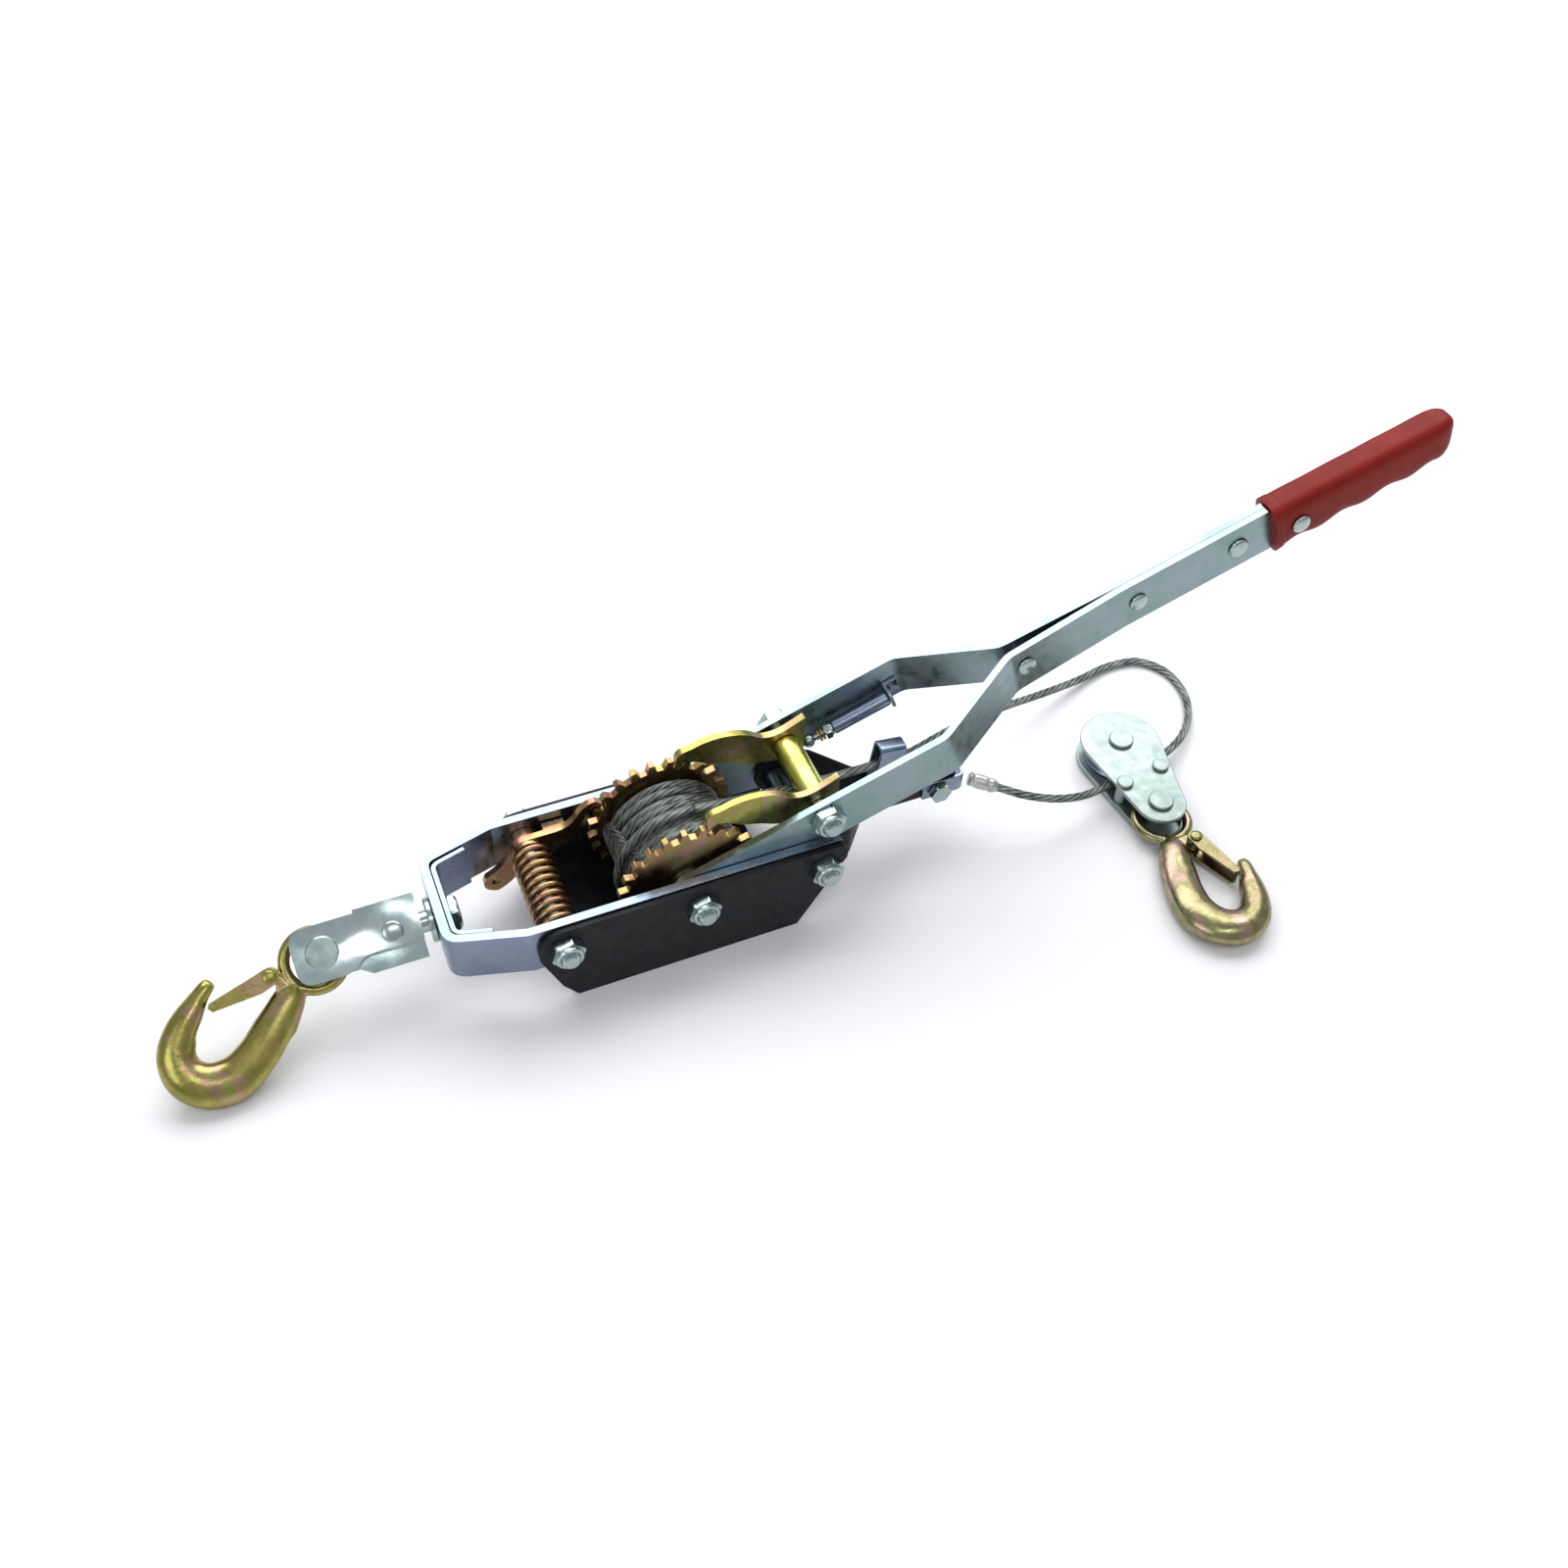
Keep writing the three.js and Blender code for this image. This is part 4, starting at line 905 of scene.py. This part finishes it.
def grip():
    steps = 200
    body = loft([grip_ring(i / steps) for i in range(steps + 1)])
    piece = add_piece("finger_grip", moved(body, RAISED), "handle", "red", ["grip"])
    bevel(piece, 0.8, angle=60)


# ---------- Hooks ----------


def forged_recess(t, turn):
    """Depth of the recesses at t along a hook: one outside the shank, one inside the point."""
    band = max(0, 1 - (math.sin(turn) / 0.5) ** 2)
    start, end = POINT_RECESS if math.cos(turn) > 0 else SHANK_RECESS
    along = max(0, 1 - abs((2 * t - start - end) / (end - start)) ** 4)
    return RECESS_DEPTH * band * along


def hook_shape():
    """A forged hook lying flat with its eye round the origin, its point towards +Y."""
    path = smooth_path(HOOK_SECTIONS, 2)
    rings = []
    for i, (u, v, wide, thick) in enumerate(path):
        along = (path[min(i + 1, len(path) - 1)] - path[max(i - 1, 0)]).xy.normalized()
        ring = []
        for j in range(48):
            turn = math.tau * j / 48
            depth = forged_recess(i / len(path), turn)
            off = (wide - depth) * math.cos(turn)
            ring.append(Vector((u - along.y * off, v + along.x * off, thick * math.sin(turn))))
        rings.append(ring)
    eye = moved(torus(EYE_R, EYE_TUBE), at(EYE_SHIFT, 0, 0))
    lug_outline = arc(LATCH_PIVOT, 4.6, -90, 180) + [(23.5, -2), (40, -6)]
    return joined(loft(rings), eye, prism(lug_outline, -3.6, 3.6))


def add_hook(name, body, node, place, finish=None):
    piece = add_piece(name, moved(hook_shape(), place), body, "gold", [node], finish)
    blend = piece.modifiers.new("blend", "REMESH")
    blend.mode = "VOXEL"
    blend.voxel_size = 0.0006
    blend.use_smooth_shade = True
    forge = piece.modifiers.new("forge", "SMOOTH")
    forge.factor = 0.5
    forge.iterations = 10


def hooks():
    swing = Matrix.Rotation(FRONT_SWING, 4, "Z") @ Matrix.Rotation(math.pi, 4, "X")
    front = ROLLED @ at(FRONT_RIVET_X, 0, -HOOK_DROP) @ swing
    block = at(*BLOCK_PIN_AT, BLOCK_Z - HOOK_DROP) @ Matrix.Rotation(BLOCK_SWING, 4, "Z")
    add_hook("forged_hook_front", "front_hook", "front_hook", front)
    add_hook("forged_hook_block", "block_hook", "block_hook", block, PALE_GOLD)
    pin = moved(rivet_shape(2, 3.6, 1.6, 5.9), at(*LATCH_PIVOT, 0))
    add_piece("latch_rivet_front", moved(pin, front), "front_hook", "gold", ["front_latch_pin"])
    block_pin = moved(pin, block)
    add_piece("latch_rivet_block", block_pin, "block_hook", "gold", ["block_latch_pin"], PALE_GOLD)


# ---------- Swivel ----------


def swivel():
    shaft = [(0, CROSS_PIN_X), (6, CROSS_PIN_X), (6, COLLAR_FRONT)]
    shaft += [(11.9, COLLAR_FRONT), (12.5, -139.3), (12.5, -137.4), (11.9, COLLAR_BACK)]
    shaft += [(6, COLLAR_BACK), (6, -124.6), (5, -123.5), (0, -123.5)]
    eye = [(4.4, -4.8), (8.2, -4.8), (9, -4), (9, 4), (8.2, 4.8), (4.4, 4.8)]
    shape = joined(moved(lathe(shaft), ALONG_X), moved(lathe(eye), at(CROSS_PIN_X, 0, 0)))
    add_piece("swivel_pin", moved(shape, ROLLED), "swivel", "zinc", ["swivel_stud"], BRIGHT_ZINC)
    nut = moved(lock_nut(11, 5, 6.3), at(NOSE_X + 8.9, 0, 0) @ ALONG_X)
    add_piece("swivel_nut", moved(nut, ROLLED), "swivel", "zinc", ["stud_nut"], BRIGHT_ZINC)
    cross = moved(rivet_shape(4, 5.6, 1.8, 9.3), at(CROSS_PIN_X, 0, 0))
    add_piece("cross_rivet", moved(cross, ROLLED), "link", "zinc", ["cross_pin"], BRIGHT_ZINC)
    hook = moved(rivet_shape(6, 8.6, 2.4, 9.3, dome=False), at(FRONT_RIVET_X, 0, 0))
    add_piece("hook_rivet_heads", moved(hook, ROLLED), "link", "zinc", ["hook_rivet"], BRIGHT_ZINC)


# ---------- Pulley block ----------


def block_outline():
    """Two round ends of different size and their tangents."""
    lean = math.degrees(math.atan2(SHEAVE_AT[1] - BLOCK_PIN_AT[1], SHEAVE_AT[0] - BLOCK_PIN_AT[0]))
    length = math.dist(SHEAVE_AT, BLOCK_PIN_AT)
    spread = math.degrees(math.acos((CHEEK_SHEAVE_R - CHEEK_PIN_R) / length))
    big = arc(SHEAVE_AT, CHEEK_SHEAVE_R, lean + 180 + spread, lean + 540 - spread, 72)
    small = arc(BLOCK_PIN_AT, CHEEK_PIN_R, lean + 180 - spread, lean + 180 + spread, 36)
    return big + small


def block_plates():
    lows = {"upper": BLOCK_Z + CHEEK_INNER, "lower": BLOCK_Z - CHEEK_INNER - CHEEK_THICKNESS}
    for name, low in lows.items():
        shape = prism(block_outline(), low, low + CHEEK_THICKNESS)
        node = f"block_plate_{name}"
        piece = add_piece(f"cheek_{name}", shape, "frame", "zinc", [node], BLOCK_ZINC)
        bevel(piece, 0.5)


def block_pins():
    spots = [
        ("sheave_axle", SHEAVE_AT, 4, 7.5, 4),
        ("block_hook_pin", BLOCK_PIN_AT, 6, 7.5, 6),
        ("block_spacer_1", SPACERS_AT[0], 2.5, 5, 4.2),
        ("block_spacer_2", SPACERS_AT[1], 2.5, 5, 4.2),
    ]
    for node, spot, shank, head, sleeve in spots:
        half = [(sleeve, 5.7), (shank, 5.7), (shank, 8.8)]
        half += [(head, 8.8), (head, 10.3), (head - 0.6, 10.8)]
        mirrored = [(r, -z) for r, z in reversed(half)]
        profile = [(0, -10.8), *mirrored, *half, (0, 11)]
        shape = moved(lathe(profile, 48), at(*spot, BLOCK_Z))
        add_piece(f"{node}_turned", shape, "frame", "zinc", [node], BLOCK_ZINC)


def sheave():
    profile = [(4.5, -5.7), (20.4, -5.7), (21, -5.1), (21, -4.5)]
    for i in range(9):
        turn = i / 8 * math.pi
        profile.append((20 - 3.5 * math.sin(turn), -3.4 * math.cos(turn)))
    profile += [(21, 4.5), (21, 5.1), (20.4, 5.7), (4.5, 5.7)]
    shape = moved(lathe(profile, 96), at(*SHEAVE_AT, BLOCK_Z))
    add_piece("grooved_sheave", shape, "sheave", "zinc", ["sheave"])


# ---------- CAD nodes that stay ----------


def finish_node(node):
    """Gives a CAD node rounded edges and smooth shading."""
    piece = frame["nodes"][node]
    weld = piece.modifiers.new("weld", "WELD")
    weld.merge_threshold = 0.00001
    flat = piece.modifiers.new("flat", "DECIMATE")
    flat.decimate_type = "DISSOLVE"
    flat.angle_limit = math.radians(0.5)
    normals = piece.data.attributes.get("custom_normal")
    if normals:
        piece.data.attributes.remove(normals)
    piece.data.shade_smooth()
    bevel(piece, RATCHET_EDGE if node.startswith("ratchet") else PLATE_EDGE)


def finish_nodes():
    slots = {part["node"]: part["material_slot"] for part in frame["record"]["subparts"]}
    for node, piece in frame["nodes"].items():
        piece.data.materials.clear()
        piece.data.materials.append(NODE_FINISHES.get(node, FINISHES[slots[node]]))
        finish_node(node)


# ---------- Studio ----------


def add_camera():
    back = Vector(
        (
            math.sin(CAMERA_AZIMUTH) * math.cos(CAMERA_ELEVATION),
            -math.cos(CAMERA_AZIMUTH) * math.cos(CAMERA_ELEVATION),
            math.sin(CAMERA_ELEVATION),
        )
    )
    right = Vector((math.cos(CAMERA_AZIMUTH), math.sin(CAMERA_AZIMUTH), 0))
    level = Matrix((right, back.cross(right), back)).transposed().to_4x4()
    camera = bpy.data.objects.new("camera", bpy.data.cameras.new("camera"))
    camera.data.lens = CAMERA_LENS
    camera.data.sensor_width = 36
    camera.data.clip_start = 0.01
    place = Matrix.Translation(AXLE + CAMERA_AT / 1000)
    camera.matrix_world = place @ level @ Matrix.Rotation(CAMERA_ROLL, 4, "Z")
    bpy.context.scene.collection.objects.link(camera)
    bpy.context.scene.camera = camera


def add_floor():
    mesh = bpy.data.meshes.new("floor")
    corners = [(x * FLOOR_REACH, y * FLOOR_REACH, 0) for x, y in ((-1, -1), (1, -1), (1, 1), (-1, 1))]
    mesh.from_pydata(corners, [], [(0, 1, 2, 3)])
    floor = bpy.data.objects.new("floor", mesh)
    mesh.materials.append(floor_white())
    bpy.context.scene.collection.objects.link(floor)


def add_light(name, spot, size, power, colour):
    light = bpy.data.lights.new(name, "AREA")
    light.shape = "RECTANGLE"
    light.size, light.size_y = size
    light.energy = power
    light.color = colour
    lamp = bpy.data.objects.new(name, light)
    lamp.location = spot
    lamp.rotation_euler = (-Vector(spot)).to_track_quat("-Z", "Y").to_euler()
    bpy.context.scene.collection.objects.link(lamp)


def add_studio():
    add_floor()
    add_light("back_softbox", (0.35, 1.05, 1.5), (2.6, 1.5), 46, (1, 1, 1))
    add_light("side_fill", (-1.6, -0.9, 1.3), (1.0, 1.0), 8, (0.95, 0.97, 1))
    add_light("front_strip", (0.05, -0.95, 1.75), (1.1, 0.3), 5, (1, 1, 1))
    world = bpy.data.worlds.new("studio")
    world.use_nodes = True
    sky = world.node_tree.nodes["Background"]
    sky.inputs["Color"].default_value = (0.90, 0.92, 0.97, 1)
    sky.inputs["Strength"].default_value = 0.5
    bpy.context.scene.world = world
    bpy.context.scene.view_settings.view_transform = "Standard"


add_camera()
free_cable()
wound_cable()
finish_nodes()
bolts()
handle_rivets()
pawl_spring()
spacer_tube()
spring_rod()
grip()
hooks()
swivel()
block_plates()
block_pins()
sheave()
add_studio()
